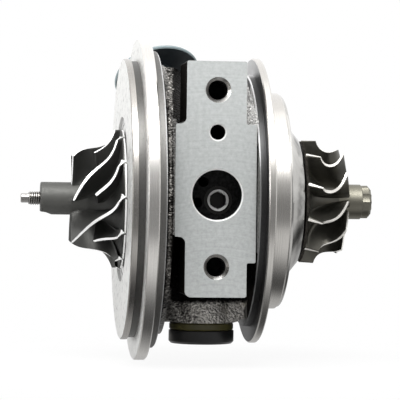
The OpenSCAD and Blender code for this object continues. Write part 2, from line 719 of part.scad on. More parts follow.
// One ruled blade between a root line and a tip line, given as lists of points
// in the order inlet to outlet. Each section is [root, tip, tip, root].
module blade(roots, tips, root_t, tip_t, sink) {
    last = len(roots) - 1;
    function along(i) =
        tips[min(i + 1, last)] + roots[min(i + 1, last)] - tips[max(i - 1, 0)] - roots[max(i - 1, 0)];
    function section(i) =
        let (
            span = tips[i] - roots[i],
            side = cross(along(i), span) / norm(cross(along(i), span)),
            foot = roots[i] - span / norm(span) * sink
        )
        [foot + side * root_t / 2, tips[i] + side * tip_t / 2, tips[i] - side * tip_t / 2,
            foot - side * root_t / 2];
    points = [for (i = [0:last]) each section(i)];
    walls = [for (i = [0:last - 1]) for (k = [0:3])
        let (a = 4 * i + k, b = 4 * i + (k + 1) % 4)
        each [[a, b, a + 4], [b, b + 4, a + 4]]];
    ends = [[0, 2, 1], [0, 3, 2], [4 * last, 4 * last + 1, 4 * last + 2],
        [4 * last, 4 * last + 2, 4 * last + 3]];
    polyhedron(points, concat(walls, ends));
}

// A point at [x, radius] turned up from the pad's side by an angle
function round_shaft(p, angle) = [p.x, -p.y * cos(angle), p.y * sin(angle)];

// Compressor wheel

hub_curve = [
    [inlet_x, nose_d / 2], [inlet_x + blade_l * 0.62, nose_d / 2 + 0.3],
    [wheel_rim_x - 1.3, exducer_d * 0.23], [wheel_rim_x, exducer_d / 2]
];
shroud_curve = [
    [inlet_x, inducer_d / 2], [inlet_x + blade_l * 0.55, inducer_d / 2],
    [outlet_corner_x - 2.1, inducer_d / 2 + 0.6], [outlet_corner_x, exducer_d / 2]
];
blade_steps = 14;
outlet_rake = 5.4;

function tip_turn(t) = blade_wrap * (0.65 * (1 - pow(1 - t, 4.5)) + 0.35 * pow(t, 2) - 1);
function root_turn(t) =
    blade_wrap * (0.8 * (1 - pow(1 - t, 1.7)) + 0.2 * pow(t, 4) - 1) + outlet_rake * pow(t, 3);

module compressor_blade(start) {
    ts = [for (i = [0:blade_steps]) start + (1 - start) * i / blade_steps];
    inset = [0, 0.06];
    blade([for (t = ts) round_shaft(curve(hub_curve, t) - inset, root_turn(t))],
        [for (t = ts) round_shaft(curve(shroud_curve, t) - inset, tip_turn(t))],
        blade_root_t, blade_tip_t, 0.6);
}

module compressor_wheel() {
    hub_steps = 12;
    pitch = 360 / full_blades;
    ball_r = 4.5;
    ball_depth = 2.3;
    hub = concat(
        [[0, nose_x], [nose_d / 2 - 0.3, nose_x], [nose_d / 2, nose_x + 0.3]],
        [for (i = [1:hub_steps]) let (p = curve(hub_curve, i / hub_steps)) [p.y, p.x]],
        [[exducer_d / 2, wheel_back_x], [sleeve_d / 2 + 2, wheel_back_x]],
        [[sleeve_d / 2 - 0.4, wheel_back_x + 0.4], [sleeve_d / 2 - 0.4, collar_x], [0, collar_x]]
    );
    color([0.3, 0.3, 0.3]) difference() {
        union() {
            turned(hub);
            for (i = [0:full_blades - 1]) {
                rotate([-blade_clock - pitch * i, 0, 0]) compressor_blade(0);
                rotate([-blade_clock - pitch * (i + 0.5), 0, 0]) compressor_blade(splitter_start);
            }
        }
        along_x(thread_d / 2 + fit_clear, nose_x - cut, collar_x + cut);
        translate([nose_x, 0, -nose_d / 2 + ball_depth - ball_r]) sphere(r = ball_r);
    }
}

// Turbine wheel

turbine_r = turbine_d / 2;
turbine_inlet_x = turbine_back_x + turbine_disc_t - 0.3;
turbine_outlet_x = turbine_back_x + 0.4 + turbine_blade_l;
turbine_boss_x = turbine_outlet_x + 3;
turbine_hub_curve = [
    [turbine_back_x + turbine_disc_t, turbine_r], [turbine_back_x + turbine_disc_t + 0.4, turbine_r * 0.57],
    [turbine_back_x + 6, turbine_boss_d / 2 + 1.6], [turbine_boss_x, turbine_boss_d / 2]
];
turbine_shroud_curve = [
    [turbine_back_x + turbine_inlet_w + 0.4, turbine_r],
    [turbine_back_x + turbine_inlet_w + 1.5, turbine_outlet_d / 2 - 0.5],
    [turbine_outlet_x - 5.1, turbine_outlet_d / 2 - 1.7], [turbine_outlet_x, turbine_outlet_d / 2]
];
turbine_steps = 13;
inlet_rake = 3.6;

function turbine_tip_turn(t) = turbine_turn * pow(t, 6) - 1.8 * sin(180 * t);
function turbine_root_turn(t) = inlet_rake * (1 - t) + turbine_turn * 0.75 * pow(t, 4);

module turbine_blade() {
    ts = [for (i = [0:turbine_steps]) i / turbine_steps];
    inset = [0, 0.2];
    blade([for (t = ts) round_shaft(curve(turbine_hub_curve, t) - inset, turbine_root_turn(t))],
        [for (t = ts) round_shaft(curve(turbine_shroud_curve, t), turbine_tip_turn(t))],
        turbine_root_t, turbine_tip_t, 0.6);
}

module twelve_point_end() {
    x0 = turbine_boss_x + turbine_boss_l;
    chamfer = 1.15;
    intersection() {
        for (a = [0, 30]) translate([x0 - cut, 0, 0]) rotate([0, 90, 0]) rotate(a)
            cylinder(d = bihex_d, h = bihex_l + cut, $fn = 6);
        turned([[0, x0 - cut], [bihex_d / 2 + 1, x0 - cut], [bihex_d / 2 + 1, x0 + bihex_l - chamfer - 1],
            [bihex_d / 2 - chamfer, x0 + bihex_l], [0, x0 + bihex_l]]);
    }
}

module turbine_wheel() {
    hub_steps = 9;
    disc_r = turbine_r - 0.7;
    hub = concat(
        [[0, weld_x], [seal_hub_d / 2, weld_x], [seal_hub_d / 2, turbine_back_x - 0.4]],
        [[seal_hub_d / 2 + 1.4, turbine_back_x], [disc_r, turbine_back_x]],
        [for (i = [0:hub_steps - 1])
            let (p = curve(turbine_hub_curve, i / hub_steps)) [min(p.y, disc_r), p.x]],
        [[turbine_boss_d / 2, turbine_boss_x + 0.8],
            [turbine_boss_d / 2, turbine_boss_x + turbine_boss_l - 0.2]],
        [[turbine_boss_d / 2 - 0.2, turbine_boss_x + turbine_boss_l], [0, turbine_boss_x + turbine_boss_l]]
    );
    color([0.25, 0.23, 0.2]) union() {
        turned(hub);
        twelve_point_end();
        for (i = [0:turbine_blades - 1])
            rotate([-turbine_clock - 360 / turbine_blades * i, 0, 0]) turbine_blade();
    }
}

// Transport plugs

seal_gap = 0.1;
module lower_coolant_plug() {
    head_top = -lower_port_z - seal_gap - lower_seal_t;
    shank_r = lower_port_d / 2 - 0.3;
    lead = 1;
    color([0.06, 0.07, 0.08]) translate([lower_port_x, 0, 0]) rotate_extrude() polygon([
        [0, head_top - lower_plug_h], [lower_plug_d / 2 - 0.8, head_top - lower_plug_h],
        [lower_plug_d / 2, head_top - lower_plug_h + 0.8], [lower_plug_d / 2, head_top - 0.3],
        [lower_plug_d / 2 - 0.3, head_top], [shank_r, head_top],
        [shank_r, -lower_port_z + lower_port_depth - 3 - lead],
        [shank_r - lead, -lower_port_z + lower_port_depth - 3], [0, -lower_port_z + lower_port_depth - 3]
    ]);
}

module lower_coolant_seal() {
    top = -lower_port_z - seal_gap;
    out_r = lower_plug_d / 2 - 0.2;
    in_r = lower_port_d / 2 - 0.2;
    bulge = 0.5;
    color([0.24, 0.22, 0.08]) translate([lower_port_x, 0, 0]) rotate_extrude() polygon([
        [in_r, top - lower_seal_t], [out_r - bulge, top - lower_seal_t], [out_r, top - lower_seal_t + bulge],
        [out_r, top - bulge], [out_r - bulge, top], [in_r, top]
    ]);
}

module upper_coolant_cap() {
    brim_r = upper_brim_d / 2;
    shank_r = upper_port_d / 2 - 0.3;
    neck_clear = 0.4;
    neck_room = upper_port_x - flange_t - upper_neck_h * sin(upper_port_lean) - neck_clear;
    neck_r = neck_room / cos(upper_port_lean);
    top = upper_neck_h + upper_brim_t;
    shank_l = upper_port_depth - 3;
    color([0.25, 0.31, 0.35]) at_upper_port() rotate_extrude() polygon([
        [0, -shank_l], [shank_r - 1, -shank_l], [shank_r, 1 - shank_l], [shank_r, seal_gap],
        [neck_r, seal_gap],
        [neck_r, upper_neck_h], [brim_r - 0.4, upper_neck_h], [brim_r, upper_neck_h + 0.4],
        [brim_r, top - 0.5], [brim_r - 0.5, top], [0, top]
    ]);
}

bearing_housing();
seal_plate();
seal_plate_o_ring();
seal_plate_snap_ring();
oil_deflector();
thrust_bearing();
thrust_bearing_screws();
journal_bearing();
bearing_locating_screw();
compressor_piston_rings();
turbine_piston_ring();
heat_shield();
shaft();
thrust_collar();
thrust_washer();
compressor_wheel();
turbine_wheel();
lower_coolant_plug();
lower_coolant_seal();
upper_coolant_cap();
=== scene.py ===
"""Looks for the turbocharger cartridge: finishes, the finely shaped rotor, camera and studio."""

import math

import bpy
import bmesh
from mathutils import Matrix, Vector


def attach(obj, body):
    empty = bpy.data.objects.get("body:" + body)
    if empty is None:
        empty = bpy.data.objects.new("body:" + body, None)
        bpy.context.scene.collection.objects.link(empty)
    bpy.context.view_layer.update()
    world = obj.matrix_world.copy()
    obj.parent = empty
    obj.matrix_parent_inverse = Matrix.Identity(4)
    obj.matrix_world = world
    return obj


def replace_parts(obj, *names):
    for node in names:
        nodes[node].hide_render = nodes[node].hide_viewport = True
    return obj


MM = 0.001
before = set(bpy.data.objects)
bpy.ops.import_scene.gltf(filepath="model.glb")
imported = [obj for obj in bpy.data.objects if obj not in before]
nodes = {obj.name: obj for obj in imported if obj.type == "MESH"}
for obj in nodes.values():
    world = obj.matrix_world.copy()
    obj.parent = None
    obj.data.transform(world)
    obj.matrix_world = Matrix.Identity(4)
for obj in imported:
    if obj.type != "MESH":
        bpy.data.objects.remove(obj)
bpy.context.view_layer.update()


# Sizes shared with the solids, in millimetres and degrees. X runs along the shaft to the turbine.

# Bearing housing
GROOVE_X = -2.6
GROOVE_R = 50.2
BACK_STEP_X = 4.1
FLANGE_BACK_X = 7.0
TURBINE_RING_X = 39.8
TURBINE_FLANGE_X = 42.2
SPIGOT_END_X = 52.0
BORE_R = 24.0
SEAT_R = 45.0
CORE_R = 25.0
CORE_X = 11.0
PAD_Y = -40.0
PAD_LEFT_X = 10.0
PAD_RIGHT_X = 40.0

# Holes in the pad: height of each, and its radius with the chamfer
HOLE_ROW_X = 25.6
TAPPED_HOLES = ((38.3, 4.7), (-23.2, 4.7))
PLAIN_HOLES = ((23.6, 3.4), (1.8, 9.4))
HOLE_END_Y = -15.0
CHAMFER_DEPTH = 1.2
THREAD_LENGTH = 8.0

# Compressor wheel. Curves are (x, radius) points.
NOSE_X = -34.1
INLET_X = -23.0
RIM_X = -5.7
WHEEL_BACK_X = -4.6
COLLAR_X = -3.4
WHEEL_BORE_R = 2.52
NOSE_R = 5.9
NOSE_BEVEL = 0.3
COLLAR_R = 6.4
WHEEL_RELIEF_R = 8.8
WHEEL_RELIEF = 0.4
INDUCER_R = 18.0
EXDUCER_R = 25.15
RIM_EDGE_X = RIM_X + 0.55
HUB_CURVE = [(INLET_X, NOSE_R), (-13.39, 6.2), (-7.0, 11.57), (RIM_X, EXDUCER_R)]
SHROUD_CURVE = [(INLET_X, INDUCER_R), (-14.475, INDUCER_R), (-9.6, 18.6), (-7.5, EXDUCER_R)]
FULL_BLADES = 6
BLADE_WRAP = 59.6
BLADE_CLOCK = 57.3
BLADE_INSET = 0.06
OUTLET_RAKE = 5.4
SPLITTER_START = 0.36

# Turbine wheel
WELD_X = 58.0
TURBINE_BACK_X = 60.2
TURBINE_BOSS_X = 78.6
TWELVE_POINT_X = 83.6
ROTOR_END_X = 87.1
TURBINE_R = 22.7
TURBINE_DISC_R = TURBINE_R - 0.7
TURBINE_BOSS_R = 6.4
TURBINE_RELIEF_R = 9.4
TURBINE_RELIEF = 0.4
BOSS_BEVEL = 0.2
TWELVE_POINT_R = 6.0
TURBINE_HUB_CURVE = [(61.1, TURBINE_R), (61.5, 12.94), (66.2, 8.0), (TURBINE_BOSS_X, TURBINE_BOSS_R)]
TURBINE_SHROUD_CURVE = [(66.0, TURBINE_R), (67.1, 18.8), (70.5, 17.6), (75.6, 19.3)]
TURBINE_BLADES = 11
TURBINE_TURN = 21.0
TURBINE_CLOCK = 12.2
TURBINE_TIP_BOW = 1.8
TURBINE_ROOT_LEAN = 3.6
TURBINE_ROOT_INSET = 0.2

# Shaft
TIP_X = -41.2
THREAD_X = -38.4
SHOULDER_X = 12.48
JOURNAL_END_X = 45.0
HEAD_X = 46.0
RING_GROOVE_START_X = 47.75
RING_GROOVE_END_X = 49.05
PILOT_R = 1.7
PILOT_BEVEL = 0.3
THREAD_START_R = 2.1
STEM_R = 2.5
JOURNAL_R = 3.75
HEAD_R = 8.0
RING_GROOVE_R = 6.5
THREAD_PITCH = 0.8
THREAD_ROOT_R = 2.08
THREAD_DEPTH = 0.42
DARK_THREAD_R = 2.2

# Heat shield
SHIELD_FACE_X = 59.4
SHIELD_SHEET = 0.9
SHIELD_RIM_R = 38.8
SHIELD_EDGE = 0.2
SHIELD_FOOT_R = 31.6
SHIELD_WALL_R = 29.1
SHIELD_HOLE_R = 9.0
FOOT_BEND_R = 31.2
TOP_BEND_R = 22.6
INSIDE_BEND_R = 22.3
OUTER_BEND = 1.2
INNER_BEND = 0.7

# Upper cap: where its port leaves the housing, the port's lean, and the height of the brim
CAP_X = 12.4
CAP_R = 57.0
CAP_ANGLE = 50.0
CAP_LEAN = 10.0
CAP_BRIM = 3.95

# Casting web between the pad and the flange: two opposite corners
WEB_LOW = Vector((9.3, -39.8, -12.2))
WEB_HIGH = Vector((11.0, -36.0, 28.0))


# Small helpers for shader nodes

def new_material(name):
    mat = bpy.data.materials.new(name)
    mat.use_nodes = True
    return mat, mat.node_tree, mat.node_tree.nodes["Principled BSDF"]


def add(tree, kind, **settings):
    """A new node, with the inputs and settings that are given by name."""
    node = tree.nodes.new(kind)
    for key, value in settings.items():
        if key in node.inputs:
            node.inputs[key].default_value = value
        else:
            setattr(node, key, value)
    return node


def math_node(tree, operation, a, b=None):
    node = tree.nodes.new("ShaderNodeMath")
    node.operation = operation
    for socket, value in zip(node.inputs, (a, b)):
        if isinstance(value, (int, float)):
            socket.default_value = value
        elif value is not None:
            tree.links.new(value, socket)
    return node.outputs[0]


def blend(tree, first, share, second):
    """A share of the first value and the rest of the second."""
    return math_node(tree, "ADD", math_node(tree, "MULTIPLY", first, share),
                     math_node(tree, "MULTIPLY", second, 1.0 - share))


def ramp(tree, value, stops):
    node = tree.nodes.new("ShaderNodeValToRGB")
    elements = node.color_ramp.elements
    while len(elements) < len(stops):
        elements.new(0.5)
    for element, (place, colour) in zip(elements, stops):
        element.position = place
        element.color = (*colour, 1.0)
    tree.links.new(value, node.inputs[0])
    return node.outputs[0]


def smooth_step(tree, value, limits, levels):
    """Runs softly from the first level to the second between two limits of the value."""
    node = add(tree, "ShaderNodeMapRange", interpolation_type="SMOOTHSTEP")
    tree.links.new(value, node.inputs["Value"])
    for name, number in zip(("From Min", "From Max", "To Min", "To Max"), (*limits, *levels)):
        node.inputs[name].default_value = number
    return node.outputs[0]


def step_mm(tree, place, limits, levels):
    """A smooth step between two places in millimetres."""
    return smooth_step(tree, place, [limit * MM for limit in limits], levels)


def grey(value):
    return (value, value, value)


def tint(colour, gain):
    return tuple(min(1.0, c * gain) for c in colour)


def object_coordinates(tree):
    return tree.nodes.new("ShaderNodeTexCoord").outputs["Object"]


def axes(tree, vector=None):
    """The x, y and z of a vector, or of the place on the object."""
    split = tree.nodes.new("ShaderNodeSeparateXYZ")
    tree.links.new(object_coordinates(tree) if vector is None else vector, split.inputs[0])
    return split.outputs[0], split.outputs[1], split.outputs[2]


def length(tree, a, b):
    """Length of the line whose run is a and whose rise is b."""
    squares = [math_node(tree, "MULTIPLY", side, side) for side in (a, b)]
    return math_node(tree, "SQRT", math_node(tree, "ADD", *squares))


def turning_coordinate(tree):
    """Distance along a turned surface: along the shaft on rims, outwards on faces."""
    x, y, z = axes(tree)
    return math_node(tree, "ADD", x, length(tree, y, z))


def noise(tree, scale, detail=3.0, rough=0.55):
    node = add(tree, "ShaderNodeTexNoise", Scale=scale, Detail=detail, Roughness=rough)
    tree.links.new(object_coordinates(tree), node.inputs["Vector"])
    return node.outputs[0]


def line_noise(tree, place, line_mm, detail, rough):
    """Tool marks across the run of place, each about line_mm wide."""
    node = add(tree, "ShaderNodeTexNoise", noise_dimensions="1D", Scale=1.0, Detail=detail, Roughness=rough)
    tree.links.new(math_node(tree, "MULTIPLY", place, 1.0 / (line_mm * MM)), node.inputs["W"])
    return node.outputs[0]


def bump(tree, bsdf, height, strength, depth_mm):
    node = add(tree, "ShaderNodeBump", Strength=strength, Distance=depth_mm * MM)
    tree.links.new(height, node.inputs["Height"])
    tree.links.new(node.outputs[0], bsdf.inputs["Normal"])


def background(tree, level):
    """Light from all round, of a plain level or of one that a node gives."""
    node = tree.nodes.new("ShaderNodeBackground")
    if isinstance(level, float):
        node.inputs["Color"].default_value = (*grey(level), 1.0)
    else:
        tree.links.new(level, node.inputs["Color"])
    return node.outputs[0]


def mixed(tree, share, first, second):
    node = tree.nodes.new("ShaderNodeMixShader")
    for socket, value in zip(node.inputs, (share, first, second)):
        tree.links.new(value, socket)
    return node.outputs[0]


# Kinds of finish

def turned_metal(name, colour, rough, line_mm):
    """Lathe-turned metal: fine rings, with streaks of tone and of gloss."""
    mat, tree, bsdf = new_material(name)
    lines = line_noise(tree, turning_coordinate(tree), line_mm, detail=4.0, rough=0.7)
    tone = blend(tree, lines, 0.6, noise(tree, 60.0, 4.0))
    colours = ramp(tree, tone, [(0.3, tint(colour, 0.82)), (0.5, colour), (0.7, tint(colour, 1.1))])
    gloss = ramp(tree, tone, [(0.3, grey(min(1.0, rough * 1.35))), (0.7, grey(rough * 0.8))])
    tree.links.new(colours, bsdf.inputs["Base Color"])
    tree.links.new(gloss, bsdf.inputs["Roughness"])
    bsdf.inputs["Metallic"].default_value = 1.0
    bump(tree, bsdf, lines, strength=0.2, depth_mm=0.02)
    return mat


def painted_shade_and_light(tree, tone):
    """Painted light and shade on the casting's tone: painted shade, near black, in the recess beside the
    pad and dark in the flange's corner, and painted light round the lower port."""
    port_top = (-38.0, -34.5)
    x, y, z = axes(tree)
    depth = math_node(tree, "ADD", y, 25.0 * MM)
    slant = math_node(tree, "SUBTRACT", x, math_node(tree, "MULTIPLY", depth, 0.1))
    inwards = step_mm(tree, slant, limits=(10.5, 13.5), levels=(0.0, 0.4))
    height = math_node(tree, "ABSOLUTE", z)
    rearwards = math_node(tree, "SUBTRACT", y, math_node(tree, "MULTIPLY", height, 0.6))
    front = step_mm(tree, rearwards, limits=(0.0, 10.0), levels=(1.0, 0.0))
    above_port = step_mm(tree, z, limits=port_top, levels=(0.0, 1.0))
    # Painted shade: the recess beside the pad darkens towards its inner end.
    recess_shade = math_node(tree, "MULTIPLY", math_node(tree, "MULTIPLY", inwards, front), above_port)
    # Painted shade in the corner against the flange's back.
    corner_shade = step_mm(tree, x, limits=(7.1, 8.4), levels=(0.3, -0.02))
    painted_shade = math_node(tree, "ADD", recess_shade, corner_shade)
    # Painted light: the casting round the lower port is lightened, most towards the turbine end.
    low = step_mm(tree, z, limits=port_top, levels=(0.23, 0.0))
    boss_light = math_node(tree, "MULTIPLY", low, step_mm(tree, x, limits=(12.0, 27.0), levels=(0.0, 1.0)))
    return math_node(tree, "ADD", math_node(tree, "SUBTRACT", tone, painted_shade), boss_light)


def cast_iron(name, dark, light, grain_mm, metallic, has_painted_shade=False):
    """Sand-cast iron: a coarse grain with dark pits and a few bright glints."""
    mat, tree, bsdf = new_material(name)
    scale = 1.0 / (grain_mm * MM)
    tone = blend(tree, noise(tree, scale, 5.0, 0.65), 0.65, noise(tree, 140.0, 4.0))
    # Painted shade in the recesses and painted light round the lower port.
    if has_painted_shade:
        tone = painted_shade_and_light(tree, tone)
    colours = ramp(tree, tone, [(0.42, dark), (0.58, tint(light, 0.2)), (0.74, light)])
    tree.links.new(colours, bsdf.inputs["Base Color"])
    bsdf.inputs["Roughness"].default_value = 0.3
    bsdf.inputs["Metallic"].default_value = metallic
    bump(tree, bsdf, noise(tree, 1.4 * scale, 1.0, 0.5), strength=1.0, depth_mm=0.9)
    return mat


def blasted_metal(name, dark, light, rough, metallic, pit_mm, relief=0.4, painted_top_light=None):
    """Blasted or as-cast face: an even matt tone with small pits. Painted light brightens it from the
    lower of two given heights up to the higher, and above."""
    mat, tree, bsdf = new_material(name)
    pits = noise(tree, 1.0 / (pit_mm * MM), 4.0, 0.7)
    tone = pits
    stops = [(0.3, dark), (0.44, light), (0.7, tint(light, 1.08))]
    # Painted light: brighter towards the top.
    if painted_top_light:
        top_light_share = step_mm(tree, axes(tree)[2], limits=painted_top_light, levels=(0.2, 0.8))
        tone = math_node(tree, "ADD", math_node(tree, "MULTIPLY", pits, 0.35), top_light_share)
        stops = [(0.3, dark), (0.5, light), (0.85, grey(0.62)), (1.0, grey(0.7))]
    tree.links.new(ramp(tree, tone, stops), bsdf.inputs["Base Color"])
    bsdf.inputs["Roughness"].default_value = rough
    bsdf.inputs["Metallic"].default_value = metallic
    bump(tree, bsdf, pits, strength=relief, depth_mm=0.2)
    return mat


def dead_black(name, colour):
    """Casting in deep shadow: no gloss at all."""
    mat, tree, bsdf = new_material(name)
    colours = ramp(tree, noise(tree, 900.0, 4.0), [(0.35, tint(colour, 0.5)), (0.65, tint(colour, 1.5))])
    tree.links.new(colours, bsdf.inputs["Base Color"])
    bsdf.inputs["Specular IOR Level"].default_value = 0.0
    bsdf.inputs["Roughness"].default_value = 1.0
    return mat


def milled_metal(name, colour):
    """Face-milled pad: wide arcs left by the cutter, and painted light that lightens its tone upwards."""
    cutter_z = -62.0
    mat, tree, bsdf = new_material(name)
    x, _, z = axes(tree)
    run = math_node(tree, "SUBTRACT", x, HOLE_ROW_X * MM)
    rise = math_node(tree, "SUBTRACT", z, cutter_z * MM)
    arcs = line_noise(tree, length(tree, run, rise), 0.625, detail=3.0, rough=0.6)
    tone = blend(tree, arcs, 0.2, noise(tree, 700.0, 5.0, 0.7))
    # Painted light: lighter towards the top of the pad.
    painted_top_light = step_mm(tree, z, limits=(-45.0, 45.0), levels=(-0.1, 0.1))
    tone = math_node(tree, "ADD", tone, painted_top_light)
    colours = ramp(tree, tone, [(0.3, tint(colour, 0.78)), (0.7, tint(colour, 1.16))])
    tree.links.new(colours, bsdf.inputs["Base Color"])
    bsdf.inputs["Metallic"].default_value = 0.35
    bsdf.inputs["Roughness"].default_value = 0.45
    bump(tree, bsdf, arcs, strength=0.05, depth_mm=0.02)
    return mat


def plain_metal(name, colour, rough, metallic=1.0, grain=900.0, strength=0.15, painted_dark_reflection=None):
    """Metal with a faint grain and cloudy gloss. A painted dark reflection darkens it between two given
    places along the shaft, and beyond."""
    mat, tree, bsdf = new_material(name)
    fine = noise(tree, grain)
    tone = noise(tree, 120.0, 4.0)
    stops = [(0.3, tint(colour, 0.85)), (0.7, tint(colour, 1.12))]
    if painted_dark_reflection:
        # Painted reflection: darker past the given places along the shaft.
        dark_reflection_share = step_mm(tree, axes(tree)[0], limits=painted_dark_reflection, levels=(0.0, 0.3))
        tone = math_node(tree, "SUBTRACT", tone, dark_reflection_share)
        stops = [(0.0, tint(colour, 0.2))] + stops
    gloss = ramp(tree, fine, [(0.3, grey(rough * 0.85)), (0.7, grey(min(1.0, rough * 1.15)))])
    tree.links.new(ramp(tree, tone, stops), bsdf.inputs["Base Color"])
    tree.links.new(gloss, bsdf.inputs["Roughness"])
    bsdf.inputs["Metallic"].default_value = metallic
    bump(tree, bsdf, fine, strength, depth_mm=0.1)
    return mat


def moulded(name, colour, rough):
    """Moulded plastic or rubber: fine texture and a soft gloss."""
    mat, tree, bsdf = new_material(name)
    colours = ramp(tree, noise(tree, 150.0), [(0.3, tint(colour, 0.85)), (0.7, tint(colour, 1.15))])
    tree.links.new(colours, bsdf.inputs["Base Color"])
    bsdf.inputs["Roughness"].default_value = rough
    bump(tree, bsdf, noise(tree, 1800.0, 2.0), strength=0.1, depth_mm=0.08)
    return mat


# Finishes of the casting
# The main casting carries painted shade in its recesses and painted light round the lower port.
CAST = cast_iron("cast_iron", (0.008, 0.0075, 0.007), (1.0, 0.96, 0.9), grain_mm=1.0, metallic=1.0,
                 has_painted_shade=True)
WEB_CAST = cast_iron("web_casting", (0.1, 0.097, 0.092), (0.8, 0.78, 0.74), grain_mm=0.8, metallic=0.5)
# Lit copy of the casting: painted light on the upper rear recess and the face beside it.
LIT_CAST = cast_iron("lit_casting", (0.72, 0.71, 0.69), (1.0, 0.99, 0.97), grain_mm=0.7, metallic=0.1)
# Painted shade: dead-black casting in the recesses, lighter in the narrow gap.
SHADED_CAST = dead_black("shaded_casting", (0.012, 0.011, 0.01))
GAP_CAST = dead_black("gap_casting", (0.12, 0.12, 0.115))

# Finishes of the housing's machined faces
TURNED = turned_metal("turned_flange", (0.62, 0.6, 0.57), rough=0.24, line_mm=0.3)
SPIGOT = turned_metal("turned_spigot", (0.42, 0.403, 0.38), rough=0.24, line_mm=0.3)
FLANGE_EDGE = turned_metal("flange_edge", (0.78, 0.76, 0.73), rough=0.24, line_mm=0.3)
# Painted shade: a dark copy of the turned metal in the spigot's groove.
GROOVE_SHADE = blasted_metal("groove_shade_band", (0.046, 0.044, 0.042), (0.09, 0.088, 0.084), rough=0.4, metallic=0.8,
                     pit_mm=0.45, relief=0.15)
BACK_STEP = blasted_metal("back_step", (0.065, 0.063, 0.06), (0.135, 0.132, 0.126), rough=0.48, metallic=0.8,
                          pit_mm=0.45)
FACE = blasted_metal("pitted_face", (0.25, 0.25, 0.24), (0.86, 0.86, 0.84), rough=0.42, metallic=0.9,
                     pit_mm=2.6)
# Rear ring face: its near-black tone is painted shade, and it lightens upwards as a painted reflection.
RING_FACE = blasted_metal("rear_ring_face", grey(0.03), grey(0.06), rough=0.4, metallic=0.8,
                          pit_mm=0.5, relief=0.03, painted_top_light=(42.5, 47.5))
# Painted highlight on the flange's back rim edge, brighter towards the top.
RIM_EDGE = blasted_metal("rim_edge", grey(0.12), (0.24, 0.238, 0.235), rough=0.5, metallic=0.1,
                         pit_mm=0.5, relief=0.03, painted_top_light=(-12.0, 30.0))
# Painted highlight on the turbine ring's bevel, brighter towards the top.
BEVEL = blasted_metal("turbine_bevel", grey(0.07), grey(0.15), rough=0.5, metallic=0.1,
                      pit_mm=0.5, relief=0.03, painted_top_light=(6.0, 22.0))
MILLED = milled_metal("milled_pad", (0.4, 0.415, 0.41))
# Painted shade: near-black walls and floors deep in the holes.
BORED = dead_black("bored_hole", grey(0.012))
TAPPED = turned_metal("tapped_hole", (0.3, 0.29, 0.28), rough=0.3, line_mm=0.4)
CHAMFER = turned_metal("hole_chamfer", (0.7, 0.69, 0.67), rough=0.18, line_mm=0.2)
# Painted highlight: bright matt metal for small chamfers, edges and rings.
PAINTED_HIGHLIGHT = plain_metal("painted_highlight_metal", (0.62, 0.62, 0.61), rough=0.5, metallic=0.1)

# Finishes of the rotor
WHEEL_FACE = plain_metal("wheel_face", (0.08, 0.08, 0.076), rough=0.42, metallic=0.8)
WHEEL_NOSE = plain_metal("wheel_nose", (0.068, 0.068, 0.063), rough=0.55, metallic=0.4)
# Bright machined tips and rim; on the full blades' inlet edges it is a painted highlight.
WHEEL_EDGE = plain_metal("wheel_edge", (0.92, 0.92, 0.9), rough=0.38, metallic=0.3)
TURBINE_FACE = plain_metal("turbine_face", (0.096, 0.092, 0.079), rough=0.36, metallic=0.85)
TURBINE_EDGE = plain_metal("turbine_edge", (0.74, 0.72, 0.68), rough=0.34, metallic=0.45)
TURBINE_BOSS = turned_metal("turbine_boss", (0.196, 0.187, 0.154), rough=0.4, line_mm=0.2)
# Painted shade on the turbine disc's back rim.
DISC_RIM_SHADE = dead_black("disc_rim_shade", (0.025, 0.023, 0.02))
SHAFT_STEEL = turned_metal("shaft_steel", (0.42, 0.41, 0.395), rough=0.22, line_mm=0.2)

# Finishes of the smaller pieces
STAINLESS = plain_metal("pressed_stainless", (0.51, 0.5, 0.48), rough=0.12, grain=160.0, strength=0.5)
# Heat shield: a painted dark reflection of the turbine wheel darkens its cone.
SHIELD_STAINLESS = plain_metal("shield_stainless", (0.56, 0.55, 0.53), rough=0.12, grain=160.0, strength=0.5,
                            painted_dark_reflection=(54.5, 57.5))
BRONZE = turned_metal("bronze", (0.6, 0.42, 0.18), rough=0.3, line_mm=0.2)
# Black oxide on the screws; on the shaft's thread it is painted shade in the grooves.
DARK_STEEL = plain_metal("black_oxide_and_groove_shade", (0.02, 0.019, 0.018), rough=0.35, metallic=0.7)
SPRING_STEEL = turned_metal("spring_steel", (0.35, 0.35, 0.36), rough=0.3, line_mm=0.2)
BLACK_PLASTIC = moulded("black_plastic", (0.01, 0.0103, 0.0108), rough=0.32)
OLIVE_RUBBER = moulded("olive_rubber", (0.06, 0.054, 0.016), rough=0.45)
BLUE_GREY = moulded("blue_grey_plastic", (0.2, 0.25, 0.262), rough=0.42)
# Painted shade for the upper cap's underside and neck.
CAP_SHADE = moulded("cap_shade_plastic", (0.028, 0.036, 0.042), rough=0.42)
BLACK_RUBBER = moulded("black_rubber", grey(0.015), rough=0.6)


# Mesh helpers. Profiles are lists of (radius, x) in millimetres.

def smooth(mesh, sharp_deg):
    """Soft shading, apart from edges that turn by more than sharp_deg."""
    mesh.polygons.foreach_set("use_smooth", [True] * len(mesh.polygons))
    mesh.set_sharp_from_angle(angle=math.radians(sharp_deg))


def finish_mesh(name, bm, materials, sharp_deg=35.0):
    """Closes a mesh under construction and puts it in the scene."""
    bmesh.ops.remove_doubles(bm, verts=bm.verts, dist=1e-7)
    bmesh.ops.recalc_face_normals(bm, faces=bm.faces)
    mesh = bpy.data.meshes.new(name)
    bm.to_mesh(mesh)
    bm.free()
    smooth(mesh, sharp_deg)
    for mat in materials:
        mesh.materials.append(mat)
    obj = bpy.data.objects.new(name, mesh)
    bpy.context.scene.collection.objects.link(obj)
    return obj


def round_shaft(x, r, degrees):
    """Point at a radius round the shaft axis, counted from the pad's side."""
    a = math.radians(degrees)
    return (x, -r * math.cos(a), r * math.sin(a))


